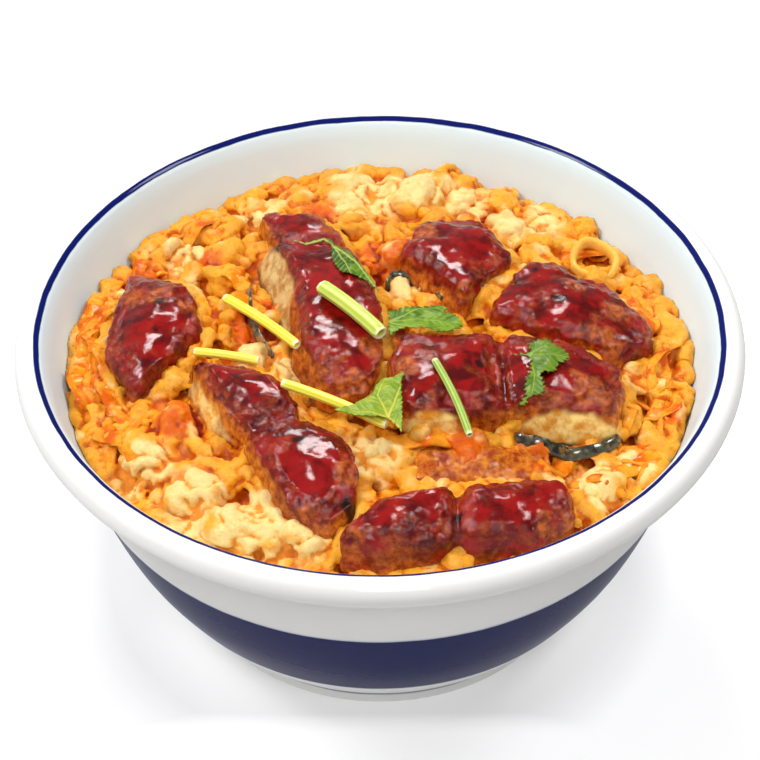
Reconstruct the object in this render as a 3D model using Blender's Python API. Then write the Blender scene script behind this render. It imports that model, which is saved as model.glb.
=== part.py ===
"""Grilled eel with soft egg and onion in a porcelain bowl.

Metres, +Z up. The origin is the middle of the foot ring, on the surface that the
bowl stands on. +Y points away from the side shown in front, +X to the right.
Outlines are written in millimetres and turned into metres by MM.
"""
import math
import random

import bmesh
import bpy
from mathutils import Vector, noise
from mathutils.bvhtree import BVHTree

MM = 0.001
GAP = 0.35                 # clearance between neighbouring pieces

# Bowl: 170 mm across the rim and 80 mm tall
BOWL_SIDES = 44
FOOT_INNER_RADIUS = 45.8
FOOT_FLAT_INNER = 46.6
FOOT_FLAT_OUTER = 49.2
FOOT_OUTER_RADIUS = 49.9
FOOT_RECESS = 3.4          # height of the underside inside the foot ring
FOOT_HEIGHT = 4.2
LIP_RADIUS = 3.4           # the rolled edge is a bead of this radius
LIP_CENTRE = (81.6, 76.6)
# Outer wall from the foot up to the lip, as radius and height
OUTER_WALL = [(50.3, 4.4), (55.2, 10.8), (60.0, 18.2), (66.6, 31.5), (72.3, 49.4), (76.1, 65.5),
              (77.5, 73.4)]
# Inner wall from under the rim line down to the floor of the bowl
INNER_WALL = [(79.5, 78.6), (77.6, 76.4), (76.2, 72.0), (73.9, 65.0), (69.2, 48.0),
              (61.5, 30.0), (47.0, 14.5), (26.0, 9.6)]
FLOOR_HEIGHT = 9.0

# Contents: a dome of egg and onion that the toppings lie on
DOME_RADIUS = 73.0
DOME_EDGE_HEIGHT = 64.0
DOME_RISE = 9.5
DOME_SIDES = 36
CURD_COUNT = 80
CURD_RADII = (3.4, 6.8)
FINE_CURD = 5.95           # larger curds than this get rounder meshes
SEED = 11
SHRINK_STEPS = 7           # tries at making a fused piece small enough to clear the eel
SHRINK_FACTOR = 0.92

# Eel: outline of the top edge, height of that edge over the dome, crown, lean of the base
EEL = {
    "eel_left": ([(-61.5, 23.6), (-45.6, 16.0), (-42.2, -0.2), (-46.9, -7.4), (-55.6, -20.4),
                  (-64.2, -8.0)], 9.0, 3.0, (0.5, -1.0)),
    "eel_center_back": ([(-30.3, 42.6), (-14.4, 40.2), (-7.8, 27.0), (-25.6, 30.4)],
                        8.5, 2.4, (-1.0, 1.5)),
    "eel_center": ([(-25.8, 29.2), (-7.6, 25.8), (0.9, 3.0), (0.8, -11.4), (-1.2, -24.4),
                    (-11.3, -26.2), (-18.2, -11.8), (-20.3, 10.2)], 9.5, 3.0, (-2.6, 0.0)),
    "eel_front_left_upper": ([(-43.6, -13.2), (-24.4, -18.6), (-17.2, -30.8), (-30.6, -35.4)],
                             9.0, 2.8, (-1.0, 0.0)),
    "eel_front_left_lower": ([(-30.4, -36.6), (-17.8, -32.2), (-8.1, -38.8), (-4.6, -47.4),
                              (-4.6, -55.8), (-11.4, -62.4), (-20.1, -57.1)],
                             9.0, 2.6, (-1.0, 0.0)),
    "eel_back_right": ([(12.0, 38.4), (22.8, 38.4), (28.2, 33.6), (32.8, 23.0), (23.6, 11.6),
                        (20.6, 4.4), (15.0, 11.6), (4.8, 24.0)], 9.0, 2.8, (-2.2, -1.4)),
    "eel_right": ([(35.4, 22.2), (41.0, 23.0), (46.5, 18.9), (56.8, 14.0), (65.0, 3.4),
                   (63.8, -3.1), (53.7, -9.4), (25.4, 1.0), (27.6, 8.4)], 9.0, 2.8, (0.0, 0.0)),
    "eel_middle": ([(4.8, -8.9), (11.0, -8.6), (26.9, -6.9), (27.4, -31.2), (23.6, -32.4),
                    (5.6, -32.0), (1.9, -20.1)], 10.0, 2.8, (0.0, -0.6)),
    "eel_middle_right": ([(28.3, -7.1), (44.0, -8.6), (55.0, -13.9), (55.2, -23.3), (52.0, -30.0),
                          (40.1, -29.9), (32.9, -28.8), (28.8, -30.4)], 10.0, 2.6, (0.0, -0.8)),
    "eel_front": ([(-9.8, -64.4), (-3.4, -57.8), (4.0, -54.6), (16.0, -52.2), (15.7, -65.8),
                   (3.9, -67.0)], 9.5, 2.6, (0.0, 0.0)),
    "eel_front_right": ([(17.0, -51.6), (30.3, -49.2), (41.4, -49.2), (41.4, -58.6),
                         (33.9, -64.0), (16.7, -65.4)], 9.0, 2.6, (0.0, 0.0)),
    "eel_sunk": ([(7.0, -37.2), (35.0, -35.6), (37.0, -45.0), (24.0, -47.2), (6.4, -47.6)],
                 4.6, 1.4, (0.0, 0.0)),
}
EEL_STEP = 5.5             # longest edge round an eel piece

# Large lumps of egg that show between the eel: centre, half sizes, height over the dome
LUMPS = [
    ((-8.0, 60.0), (9.5, 7.0, 5.2), 2.2), ((7.5, 56.0), (10.0, 8.0, 5.4), 2.4),
    ((15.0, 66.0), (9.0, 5.2, 5.0), 1.8), ((-30.5, -9.5), (6.2, 4.2, 4.4), 3.2),
    ((-23.5, -14.6), (5.0, 3.0, 4.0), 2.6), ((-1.6, -39.5), (5.0, 6.4, 4.8), 2.6),
    ((-52.0, -34.0), (8.5, 6.5, 5.0), 2.4), ((-31.0, -56.0), (8.5, 6.0, 5.0), 2.4),
    ((-40.5, -46.0), (8.0, 6.0, 5.0), 2.0), ((49.0, -43.0), (7.0, 5.5, 4.6), 1.8),
]
# Strips of onion: start, bend, end, width
STRIPS = [
    ((-69.0, 18.0), (-70.5, 6.0), (-68.5, -6.0), 4.4), ((-70.0, 2.0), (-69.0, -9.0), (-63.0, -19.0), 4.6),
    ((-64.0, 26.0), (-67.0, 19.0), (-67.0, 10.0), 3.6), ((-62.0, -25.0), (-66.0, -18.0), (-69.0, -8.0), 3.8),
    ((-44.0, 40.0), (-36.0, 45.0), (-35.0, 52.0), 3.4), ((67.0, -8.0), (69.5, -16.0), (65.0, -25.0), 3.8),
    ((61.5, -20.0), (66.0, -27.0), (60.0, -34.0), 3.6), ((58.0, -12.0), (64.0, -14.0), (69.0, -9.0), 3.4),
    ((44.0, -34.0), (52.0, -37.5), (59.0, -36.0), 3.4), ((66.0, 22.0), (68.0, 12.0), (69.5, 2.0), 4.0),
    ((38.0, 50.0), (46.0, 50.0), (52.0, 46.0), 3.4), ((-14.0, 50.0), (-4.0, 48.0), (2.0, 44.0), 3.4),
    ((9.0, -35.6), (18.0, -35.2), (27.0, -34.0), 2.6), ((-46.0, -24.0), (-38.0, -38.0), (-30.0, -44.0), 3.6),
    ((38.0, 34.0), (44.0, 30.0), (44.0, 24.0), 3.2), ((-56.0, 36.0), (-48.0, 38.0), (-42.0, 33.0), 3.4),
]
STRIP_THICKNESS = 1.6
RING_CENTRE = (54.0, 35.0)
RING_RADIUS = 5.2
RING_WIDTH = 1.7

# Green stems: start, end, radius
STEMS = {
    "stem_thick": ((-13.4, 2.8), (0.4, -13.2), 1.6),
    "stem_upper": ((-36.2, 6.0), (-18.8, -12.4), 1.05),
    "stem_left": ((-42.6, -10.2), (-27.6, -14.4), 0.95),
    "stem_lower": ((-21.8, -25.2), (1.4, -37.4), 1.0),
    "stem_green": ((12.3, -21.0), (19.4, -43.6), 0.8),
}
STEM_SIDES = 7
STEM_STATIONS = 7

# Leaves: spine, half widths to the left and right of it, teeth
LEAVES = {
    "leaf_back": ([(-20.6, 24.0), (-15.6, 24.4), (-12.0, 20.2), (-6.0, 10.2), (-0.2, 0.0)],
                  [0.3, 1.5, 0.6, 3.4, 4.2, 2.6, 0.3], [0.3, 1.0, 0.6, 3.0, 3.6, 2.4, 0.3]),
    "leaf_middle": ([(2.4, -4.6), (8.0, -4.0), (14.0, -3.6), (21.4, -4.4)],
                    [1.2, 6.4, 6.0, 6.8, 5.2, 0.3], [1.2, 7.6, 5.6, 6.2, 4.8, 0.3]),
    "leaf_front": ([(3.2, -38.8), (0.8, -34.6), (-2.4, -29.6), (-5.0, -25.4)],
                   [0.5, 3.0, 7.0, 11.0, 6.0, 0.4], [0.5, 2.2, 5.4, 9.6, 5.0, 0.4]),
    "leaf_right": ([(27.6, -17.6), (32.0, -15.8), (37.0, -17.0), (38.2, -23.0), (35.0, -33.0)],
                   [0.4, 0.5, 2.8, 8.0, 5.2, 3.6, 0.3], [0.4, 0.5, 3.6, 3.4, 3.4, 2.8, 0.3]),
}
LEAF_STATIONS = 11
LEAF_THICKNESS = 0.55


def clear_scene():
    for old in list(bpy.data.objects):
        bpy.data.objects.remove(old, do_unlink=True)


def material(name, colour, roughness, metallic=0.0):
    made = bpy.data.materials.new(name)
    made.use_nodes = True
    shader = made.node_tree.nodes["Principled BSDF"]
    shader.inputs["Base Color"].default_value = (*colour, 1.0)
    shader.inputs["Roughness"].default_value = roughness
    shader.inputs["Metallic"].default_value = metallic
    made.diffuse_color = (*colour, 1.0)
    return made


def object_from(name, bm, finish):
    """Link the mesh as an object, in metres, with its faces pointing out."""
    bmesh.ops.scale(bm, vec=(MM, MM, MM), verts=bm.verts)
    bmesh.ops.recalc_face_normals(bm, faces=bm.faces)
    mesh = bpy.data.meshes.new(name)
    bm.to_mesh(mesh)
    bm.free()
    made = bpy.data.objects.new(name, mesh)
    bpy.context.scene.collection.objects.link(made)
    mesh.materials.append(finish)
    mesh.shade_smooth()
    mesh.set_sharp_from_angle(angle=math.radians(50))
    return made


def smooth_through(points, steps):
    """Points on a Catmull-Rom curve through the given ones."""
    line = [Vector(p) for p in points]
    ends = [line[0] * 2 - line[1]] + line + [line[-1] * 2 - line[-2]]
    result = []
    for i in range(1, len(ends) - 2):
        a, b, c, d = ends[i - 1:i + 3]
        for step in range(steps):
            t = step / steps
            result.append(0.5 * (2 * b + (c - a) * t + (2 * a - 5 * b + 4 * c - d) * t * t
                                 + (3 * b - a - 3 * c + d) * t ** 3))
    result.append(line[-1])
    return result


def turned(bm, profile, sides):
    """Turn a profile of radius and height about Z; an end on the axis closes to a point."""
    rings = []
    for radius, height in profile:
        if radius < 1e-6:
            rings.append([bm.verts.new((0, 0, height))])
            continue
        angles = [2 * math.pi * k / sides for k in range(sides)]
        rings.append([bm.verts.new((radius * math.cos(a), radius * math.sin(a), height))
                      for a in angles])
    for low, high in zip(rings, rings[1:]):
        for k in range(sides):
            n = (k + 1) % sides
            if len(low) == 1:
                bm.faces.new((low[0], high[k], high[n]))
            elif len(high) == 1:
                bm.faces.new((low[k], low[n], high[0]))
            else:
                bm.faces.new((low[k], low[n], high[n], high[k]))


def bowl(finish):
    outer = [Vector(p) for p in OUTER_WALL]
    lip_r, lip_z = LIP_CENTRE
    lip = [Vector((lip_r + LIP_RADIUS * math.cos(a), lip_z + LIP_RADIUS * math.sin(a)))
           for a in [math.radians(d) for d in (-62, -30, 0, 45, 90, 122)]]
    inner = [Vector(p) for p in INNER_WALL]
    profile = [(0.0, FOOT_RECESS), (FOOT_INNER_RADIUS - 2.4, FOOT_RECESS),
               (FOOT_INNER_RADIUS, FOOT_RECESS - 1.0), (FOOT_FLAT_INNER, 0.0), (FOOT_FLAT_OUTER, 0.0),
               (FOOT_OUTER_RADIUS, 0.7), (FOOT_OUTER_RADIUS, FOOT_HEIGHT - 0.6)]
    profile += [tuple(p) for p in outer + lip + inner] + [(0.0, FLOOR_HEIGHT)]
    bm = bmesh.new()
    turned(bm, profile, BOWL_SIDES)
    return object_from("bowl", bm, finish)


def dome_height(x, y):
    return DOME_EDGE_HEIGHT + DOME_RISE * (1 - (x * x + y * y) / DOME_RADIUS ** 2)


def wall_radius(z):
    """Radius of the flat of the bowl's inner wall at a height."""
    line = sorted((height, radius) for radius, height in INNER_WALL)
    for (low, narrow), (high, wide) in zip(line, line[1:]):
        if low <= z <= high:
            return (narrow + (wide - narrow) * (z - low) / (high - low)) * math.cos(math.pi / BOWL_SIDES)
    return line[0][1] if z < line[0][0] else line[-1][1]


def keep_in_bowl(bm):
    """Draw in what would touch the bowl's wall."""
    for vert in bm.verts:
        reach = math.hypot(vert.co.x, vert.co.y)
        limit = wall_radius(vert.co.z) - GAP
        if reach > limit:
            vert.co.x *= limit / reach
            vert.co.y *= limit / reach


def inside(point, outline):
    x, y = point
    hit = False
    for (ax, ay), (bx, by) in zip(outline, outline[1:] + outline[:1]):
        if (ay > y) != (by > y) and x < (bx - ax) * (y - ay) / (by - ay) + ax:
            hit = not hit
    return hit


def distance_to(point, outline):
    """Distance from a point to an outline, 0 inside it."""
    if inside(point, outline):
        return 0.0
    best = 1e9
    spot = Vector(point)
    for a, b in zip(outline, outline[1:] + outline[:1]):
        a, b = Vector(a), Vector(b)
        t = max(0.0, min(1.0, (spot - a).dot(b - a) / (b - a).length_squared))
        best = min(best, (spot - a.lerp(b, t)).length)
    return best


def eel_footprints():
    """Each eel piece's outline as it meets the dome."""
    result = []
    for outline, _edge, _crown, (dx, dy) in EEL.values():
        result.append([(x + dx, y + dy) for x, y in outline])
        result.append(list(outline))
    return result


def shrink_clear(bm, footprints):
    """Shrink a piece about its middle until it clears the eel; say whether that is possible."""
    middle = sum((vert.co for vert in bm.verts), Vector()) / len(bm.verts)
    for _ in range(SHRINK_STEPS):
        points = [(vert.co.x, vert.co.y) for vert in bm.verts]
        points += [tuple(((a.co + b.co) / 2).to_2d()) for a, b in (edge.verts for edge in bm.edges)]
        if all(distance_to(p, outline) > GAP for outline in footprints for p in points):
            return True
        for vert in bm.verts:
            vert.co.xy = middle.xy + (vert.co.xy - middle.xy) * SHRINK_FACTOR
    return False


def rounded_outline(corners, cut=0.16, step=EEL_STEP):
    """Cut the corners off, then share the long sides into short edges."""
    blunt = []
    for a, b in zip(corners, corners[1:] + corners[:1]):
        a, b = Vector(a), Vector(b)
        length = (b - a).length
        blunt.append(a.lerp(b, min(cut, 1.6 / length)))
        blunt.append(a.lerp(b, 1 - min(cut, 1.6 / length)))
    result = []
    for a, b in zip(blunt, blunt[1:] + blunt[:1]):
        pieces = max(1, round((b - a).length / step))
        result += [a.lerp(b, k / pieces) for k in range(pieces)]
    return result


def eel_piece(name, corners, edge, crown, lean, finish):
    """A cut piece of fillet: flat base on the dome, cut sides, crowned top."""
    outline = rounded_outline(corners)
    centre = sum(outline, Vector((0, 0))) / len(outline)
    lean = Vector(lean)
    # ring: share of the outline, share of the lean, height over the dome
    rings = [(0.55, 1.0, GAP), (0.93, 1.0, GAP), (1.0, 0.85, 1.6), (1.0, 0.2, edge * 0.74),
             (0.93, 0.0, edge), (0.66, 0.0, edge + crown * 0.62)]
    bm = bmesh.new()
    made = []
    for share, leaning, height in rings:
        ring = []
        for spot in outline:
            x, y = centre + (spot - centre) * share + lean * leaning
            ripple = 0.0
            if height > edge * 0.7:
                ripple = 0.55 * noise.noise(Vector((x, y, edge)) * 0.16)
            ring.append(bm.verts.new((x, y, dome_height(x, y) + height + ripple)))
        made.append(ring)
    for low, high in zip(made, made[1:]):
        for k in range(len(low)):
            n = (k + 1) % len(low)
            bm.faces.new((low[k], low[n], high[n], high[k]))
    base = centre + lean
    for ring, spot, height in ((made[0], base, GAP), (made[-1], centre, edge + crown)):
        tip = bm.verts.new((spot.x, spot.y, dome_height(*spot) + height))
        for k in range(len(ring)):
            bm.faces.new((ring[k], ring[(k + 1) % len(ring)], tip))
    return object_from(name, bm, finish)


def lump_mesh(bm, centre, half, lift, turn, seed, finer=True):
    """An uneven curd of egg, sunk into the dome."""
    made = bmesh.ops.create_icosphere(bm, subdivisions=2 if finer else 1, radius=1.0)
    x, y = centre
    base = dome_height(x, y) + lift
    ca, sa = math.cos(turn), math.sin(turn)
    for vert in made["verts"]:
        swell = 1 + 0.2 * noise.noise(vert.co * 1.6 + Vector((seed, seed * 0.7, 0)))
        px, py, pz = vert.co.x * half[0] * swell, vert.co.y * half[1] * swell, vert.co.z * half[2] * swell
        vert.co = (x + px * ca - py * sa, y + px * sa + py * ca, base + pz)


def strip_mesh(bm, start, bend, end, width, lift):
    """A bent strip of onion that lies along the dome."""
    line = smooth_through([start, bend, end], 2)
    rings = []
    for i, spot in enumerate(line):
        along = (line[min(i + 1, len(line) - 1)] - line[max(i - 1, 0)]).normalized()
        across = Vector((-along.y, along.x)) * width / 2
        arch = lift + 1.4 * math.sin(math.pi * i / (len(line) - 1))
        low = dome_height(*spot) + arch
        a, b = spot - across, spot + across
        rings.append([bm.verts.new((a.x, a.y, low)), bm.verts.new((b.x, b.y, low)),
                      bm.verts.new((b.x, b.y, low + STRIP_THICKNESS)),
                      bm.verts.new((a.x, a.y, low + STRIP_THICKNESS))])
    for low, high in zip(rings, rings[1:]):
        for k in range(4):
            bm.faces.new((low[k], low[(k + 1) % 4], high[(k + 1) % 4], high[k]))
    bm.faces.new(rings[0][::-1])
    bm.faces.new(rings[-1])


def ring_mesh(bm, centre, radius, width, lift, sides=14, corners=5):
    """A ring of onion, part sunk in the egg."""
    base = dome_height(*centre) + lift
    rows = []
    for i in range(sides):
        a = 2 * math.pi * i / sides
        row = []
        for k in range(corners):
            b = 2 * math.pi * k / corners
            r = radius + width * math.cos(b)
            row.append(bm.verts.new((centre[0] + r * math.cos(a), centre[1] + 0.9 * r * math.sin(a),
                                     base + width * math.sin(b) * 1.2)))
        rows.append(row)
    for i in range(sides):
        for k in range(corners):
            n, m = (i + 1) % sides, (k + 1) % corners
            bm.faces.new((rows[i][k], rows[n][k], rows[n][m], rows[i][m]))


def largest_shell(mesh):
    """Drop loose scraps and the skins of sealed hollows."""
    bm = bmesh.new()
    bm.from_mesh(mesh)
    left = set(bm.faces)
    shells = []
    while left:
        stack = [left.pop()]
        shell = []
        while stack:
            face = stack.pop()
            shell.append(face)
            for edge in face.edges:
                for other in edge.link_faces:
                    if other in left:
                        left.remove(other)
                        stack.append(other)
        shells.append(shell)
    shells.sort(key=len)
    scraps = [face for shell in shells[:-1] for face in shell]
    bmesh.ops.delete(bm, geom=scraps, context="FACES")
    bm.to_mesh(mesh)
    bm.free()


def scattered_curds():
    """Spots for small curds: clear of the eel, of the wall and of each other."""
    draw = random.Random(SEED)
    footprints = eel_footprints()
    placed = [(Vector(c), max(h[:2])) for c, h, _ in LUMPS]
    placed.append((Vector(RING_CENTRE), RING_RADIUS))
    curds = []
    tries = 0
    while len(curds) < CURD_COUNT and tries < 9000:
        tries += 1
        size = CURD_RADII[1] + (CURD_RADII[0] - CURD_RADII[1]) * min(1.0, tries / 2500)
        size *= draw.uniform(0.85, 1.0)
        angle = draw.uniform(0, 2 * math.pi)
        reach = (DOME_RADIUS - 0.6 - size) * math.sqrt(draw.uniform(0, 1))
        spot = Vector((reach * math.cos(angle), reach * math.sin(angle)))
        if any((spot - other).length < 0.72 * (size + radius) for other, radius in placed):
            continue
        if any(distance_to(spot, outline) < size * 1.16 + GAP for outline in footprints):
            continue
        placed.append((spot, size))
        curds.append((spot, size, draw.uniform(0.62, 0.9), draw.uniform(0, math.pi), draw.uniform(0, 50)))
    return curds


def heap(finish):
    """The dome with its curds, strips and ring fused on."""
    sunk = [(radius - GAP - 0.1, height + GAP) for radius, height in reversed(INNER_WALL)
            if height < DOME_EDGE_HEIGHT - 4]
    profile = [(0.0, FLOOR_HEIGHT + GAP + 0.6)] + sunk + [(DOME_RADIUS, DOME_EDGE_HEIGHT)]
    for share in (0.84, 0.62, 0.36):
        radius = DOME_RADIUS * share
        profile.append((radius, dome_height(radius, 0)))
    profile.append((0.0, dome_height(0, 0)))
    bm = bmesh.new()
    turned(bm, profile, DOME_SIDES)
    core = object_from("egg_and_onion", bm, finish)
    extras = bpy.data.collections.new("fused_pieces")
    bpy.context.scene.collection.children.link(extras)

    footprints = eel_footprints()

    def fuse(build, *values):
        piece = bmesh.new()
        build(piece, *values)
        keep_in_bowl(piece)
        if not shrink_clear(piece, footprints):
            piece.free()
            return
        made = object_from("fused", piece, finish)
        bpy.context.scene.collection.objects.unlink(made)
        extras.objects.link(made)

    for number, (centre, half, lift) in enumerate(LUMPS):
        fuse(lump_mesh, centre, half, lift, 0.4 * number, 3.0 + number)
    for spot, size, flat, turn, seed in scattered_curds():
        half = (size, size * 0.8, size * flat)
        fuse(lump_mesh, tuple(spot), half, size * 0.2, turn, seed, size > FINE_CURD)
    for start, bend, end, width in STRIPS:
        fuse(strip_mesh, start, bend, end, width, 1.4)
    fuse(ring_mesh, RING_CENTRE, RING_RADIUS, RING_WIDTH, 1.2)

    union = core.modifiers.new("fuse", "BOOLEAN")
    union.operation = "UNION"
    union.operand_type = "COLLECTION"
    union.collection = extras
    union.solver = "EXACT"
    bpy.context.view_layer.update()
    joined = bpy.data.meshes.new_from_object(core.evaluated_get(bpy.context.evaluated_depsgraph_get()))
    core.modifiers.clear()
    core.data = joined
    for extra in list(extras.objects):
        bpy.data.objects.remove(extra, do_unlink=True)
    bpy.data.collections.remove(extras)
    largest_shell(joined)
    joined.shade_smooth()
    joined.set_sharp_from_angle(angle=math.radians(50))
    return core


def landing(solids):
    """A function that gives the height of the highest solid near a spot, in millimetres."""
    trees = []
    for solid in solids:
        vertices = [vert.co / MM for vert in solid.data.vertices]
        trees.append(BVHTree.FromPolygons(vertices, [list(p.vertices) for p in solid.data.polygons]))

    def height(x, y, reach):
        best = FLOOR_HEIGHT
        spots = [(x, y)]
        for k in range(8):
            angle = math.pi * k / 4
            spots.append((x + reach * math.cos(angle), y + reach * math.sin(angle)))
            spots.append((x + 0.5 * reach * math.cos(angle), y + 0.5 * reach * math.sin(angle)))
        for tree in trees:
            for sx, sy in spots:
                hit = tree.ray_cast(Vector((sx, sy, 200.0)), Vector((0, 0, -1)))[0]
                if hit is not None:
                    best = max(best, hit.z)
        return best

    return height


def bridged(floor, neighbours, sag, rounds=60):
    """Heights of a limp thing that rests on the floor heights and spans between them."""
    level = list(floor)
    for _ in range(rounds):
        level = [max(floor[i], sum(level[n] for n in near) / len(near) - sag)
                 for i, near in enumerate(neighbours)]
    return level


def stem(name, start, end, radius, height, finish):
    """A cut stem that lies over what is under it."""
    start, end = Vector(start), Vector(end)
    last = STEM_STATIONS - 1
    spots = [start.lerp(end, i / last) for i in range(STEM_STATIONS)]
    floor = [height(s.x, s.y, radius + 0.5) + radius + GAP for s in spots]
    near = [[max(i - 1, 0), min(i + 1, last)] for i in range(STEM_STATIONS)]
    level = bridged(floor, near, 0.02)
    across = Vector((-(end - start).y, (end - start).x)).normalized()
    bm = bmesh.new()
    rings = []
    for spot, z in zip(spots, level):
        ring = []
        for k in range(STEM_SIDES):
            a = 2 * math.pi * k / STEM_SIDES
            side = across * (radius * math.cos(a))
            ring.append(bm.verts.new((spot.x + side.x, spot.y + side.y, z + radius * math.sin(a))))
        rings.append(ring)
    for low, high in zip(rings, rings[1:]):
        for k in range(STEM_SIDES):
            n = (k + 1) % STEM_SIDES
            bm.faces.new((low[k], low[n], high[n], high[k]))
    bm.faces.new(rings[0][::-1])
    bm.faces.new(rings[-1])
    return object_from(name, bm, finish)


def width_at(widths, share):
    """A half width read from its list of stations."""
    place = share * (len(widths) - 1)
    i = min(int(place), len(widths) - 2)
    return widths[i] + (widths[i + 1] - widths[i]) * (place - i)


def leaf(name, spine, left, right, height, finish):
    """A thin toothed leaf that drapes over what is under it; both faces have the same triangles."""
    curve = smooth_through(spine, 12)
    rows = []
    for i in range(LEAF_STATIONS):
        share = i / (LEAF_STATIONS - 1)
        place = share * (len(curve) - 1)
        k = min(int(place), len(curve) - 2)
        spot = curve[k].lerp(curve[k + 1], place - k)
        along = (curve[k + 1] - curve[k]).normalized()
        across = Vector((-along.y, along.x))
        tooth = 1.0 if i % 2 else 0.84
        wide_left = width_at(left, share) * tooth
        wide_right = width_at(right, share) * tooth
        rows.append([spot + across * wide_left, spot + across * wide_left * 0.5, spot,
                     spot - across * wide_right * 0.5, spot - across * wide_right])
    count = len(rows[0])
    flat = [spot for row in rows for spot in row]
    floor = [height(s.x, s.y, 1.3) + GAP + 0.25 for s in flat]
    near = []
    for i in range(len(flat)):
        row, column = divmod(i, count)
        options = [(row - 1, column), (row + 1, column), (row, column - 1), (row, column + 1)]
        near.append([r * count + c for r, c in options if 0 <= r < len(rows) and 0 <= c < count])
    level = bridged(floor, near, 0.03)
    bm = bmesh.new()
    faces = []
    for lift in (0.0, LEAF_THICKNESS):
        faces.append([bm.verts.new((s.x, s.y, z + lift)) for s, z in zip(flat, level)])
    for side in faces:
        for r in range(len(rows) - 1):
            for c in range(count - 1):
                a, b = side[r * count + c], side[r * count + c + 1]
                d, e = side[(r + 1) * count + c], side[(r + 1) * count + c + 1]
                bm.faces.new((a, b, e))
                bm.faces.new((a, e, d))
    border = [r * count for r in range(len(rows))]
    border += [(len(rows) - 1) * count + c for c in range(1, count)]
    border += [r * count + count - 1 for r in range(len(rows) - 2, -1, -1)]
    border += [c for c in range(count - 2, 0, -1)]
    low, high = faces
    for i, j in zip(border, border[1:] + border[:1]):
        bm.faces.new((low[i], low[j], high[j], high[i]))
    return object_from(name, bm, finish)


def main():
    clear_scene()
    porcelain = material("porcelain", (0.86, 0.86, 0.84), 0.12)
    egg = material("soft_egg", (0.86, 0.47, 0.10), 0.38)
    glaze = material("glazed_eel", (0.22, 0.025, 0.012), 0.16)
    green = material("herb_leaf", (0.10, 0.30, 0.03), 0.42)
    yellow = material("herb_stem", (0.72, 0.72, 0.06), 0.35)

    bowl(porcelain)
    solids = [heap(egg)]
    for name, (corners, edge, crown, lean) in EEL.items():
        solids.append(eel_piece(name, corners, edge, crown, lean, glaze))
    for name, (start, end, radius) in STEMS.items():
        solids.append(stem(name, start, end, radius, landing(solids), yellow))
    for name, (spine, left, right) in LEAVES.items():
        solids.append(leaf(name, spine, left, right, landing(solids), green))


main()
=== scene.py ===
"""A bowl of grilled eel with soft egg and onion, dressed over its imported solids.

Metres, +Z up, the bowl's foot on the floor at the origin. +Y points away from the camera.
"""
import math
import random

import bpy
import numpy as np
from mathutils import Matrix, Vector, noise
from mathutils.bvhtree import BVHTree


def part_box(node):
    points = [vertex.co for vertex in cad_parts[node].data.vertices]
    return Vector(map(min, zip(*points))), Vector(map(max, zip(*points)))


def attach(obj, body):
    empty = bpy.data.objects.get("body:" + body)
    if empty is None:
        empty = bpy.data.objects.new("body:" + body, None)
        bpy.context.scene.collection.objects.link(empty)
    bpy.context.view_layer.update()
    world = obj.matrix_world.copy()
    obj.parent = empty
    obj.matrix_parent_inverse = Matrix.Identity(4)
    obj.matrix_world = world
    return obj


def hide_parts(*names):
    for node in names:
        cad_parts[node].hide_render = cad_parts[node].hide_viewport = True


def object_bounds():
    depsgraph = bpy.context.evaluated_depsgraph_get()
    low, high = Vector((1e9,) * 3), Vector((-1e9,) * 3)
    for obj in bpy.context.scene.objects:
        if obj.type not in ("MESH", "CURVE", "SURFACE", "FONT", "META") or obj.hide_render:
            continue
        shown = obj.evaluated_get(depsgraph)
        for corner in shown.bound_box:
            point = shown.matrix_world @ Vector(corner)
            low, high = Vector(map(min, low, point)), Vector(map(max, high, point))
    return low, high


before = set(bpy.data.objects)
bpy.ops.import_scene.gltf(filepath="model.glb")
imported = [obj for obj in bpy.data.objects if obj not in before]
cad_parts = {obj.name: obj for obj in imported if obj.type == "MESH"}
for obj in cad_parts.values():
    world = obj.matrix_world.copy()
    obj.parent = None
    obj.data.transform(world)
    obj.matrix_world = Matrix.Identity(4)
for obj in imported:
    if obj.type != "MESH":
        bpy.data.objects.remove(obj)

MM = 0.001
CAD_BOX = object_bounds()

# Bowl, as the solids have it: radii and heights in millimetres
RIM_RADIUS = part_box("bowl")[1].x / MM
CAD_TOP = CAD_BOX[1].z / MM - 0.05   # no topping stands higher than this
LIP_BEAD = 3.4
LIP_CENTRE = (RIM_RADIUS - LIP_BEAD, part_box("bowl")[1].z / MM - LIP_BEAD)
FOOT_PROFILE = [(0.0, 3.4), (20.0, 3.4), (38.0, 3.4), (43.4, 3.3), (45.2, 2.6), (46.0, 1.0),
                (46.7, 0.1), (47.4, 0.0), (48.6, 0.0), (49.4, 0.2), (49.8, 0.9), (49.9, 2.2), (49.9, 3.4)]
OUTER_WALL = [(50.3, 4.5), (55.2, 10.8), (60.0, 18.2), (66.6, 31.5), (72.3, 49.4), (76.1, 65.5),
              (77.5, 73.2)]
INNER_WALL = [(78.5, 78.1), (77.4, 75.8), (76.1, 72.0), (73.9, 65.0), (69.2, 48.0), (61.5, 30.0),
              (47.0, 14.5), (26.0, 9.6), (0.0, 9.0)]
LIP_ARC = (-66, 138, 12)   # start, end and step of the round lip, in degrees
SPIN_STEPS = 160
RIM_LINE_RADIUS = 79.75
RIM_LINE_WIDTH = 1.25
BAND_LOW, BAND_HIGH = 18.2, 49.4
FOOT_LINE_LOW, FOOT_LINE_HIGH = 3.4, 4.5

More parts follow.
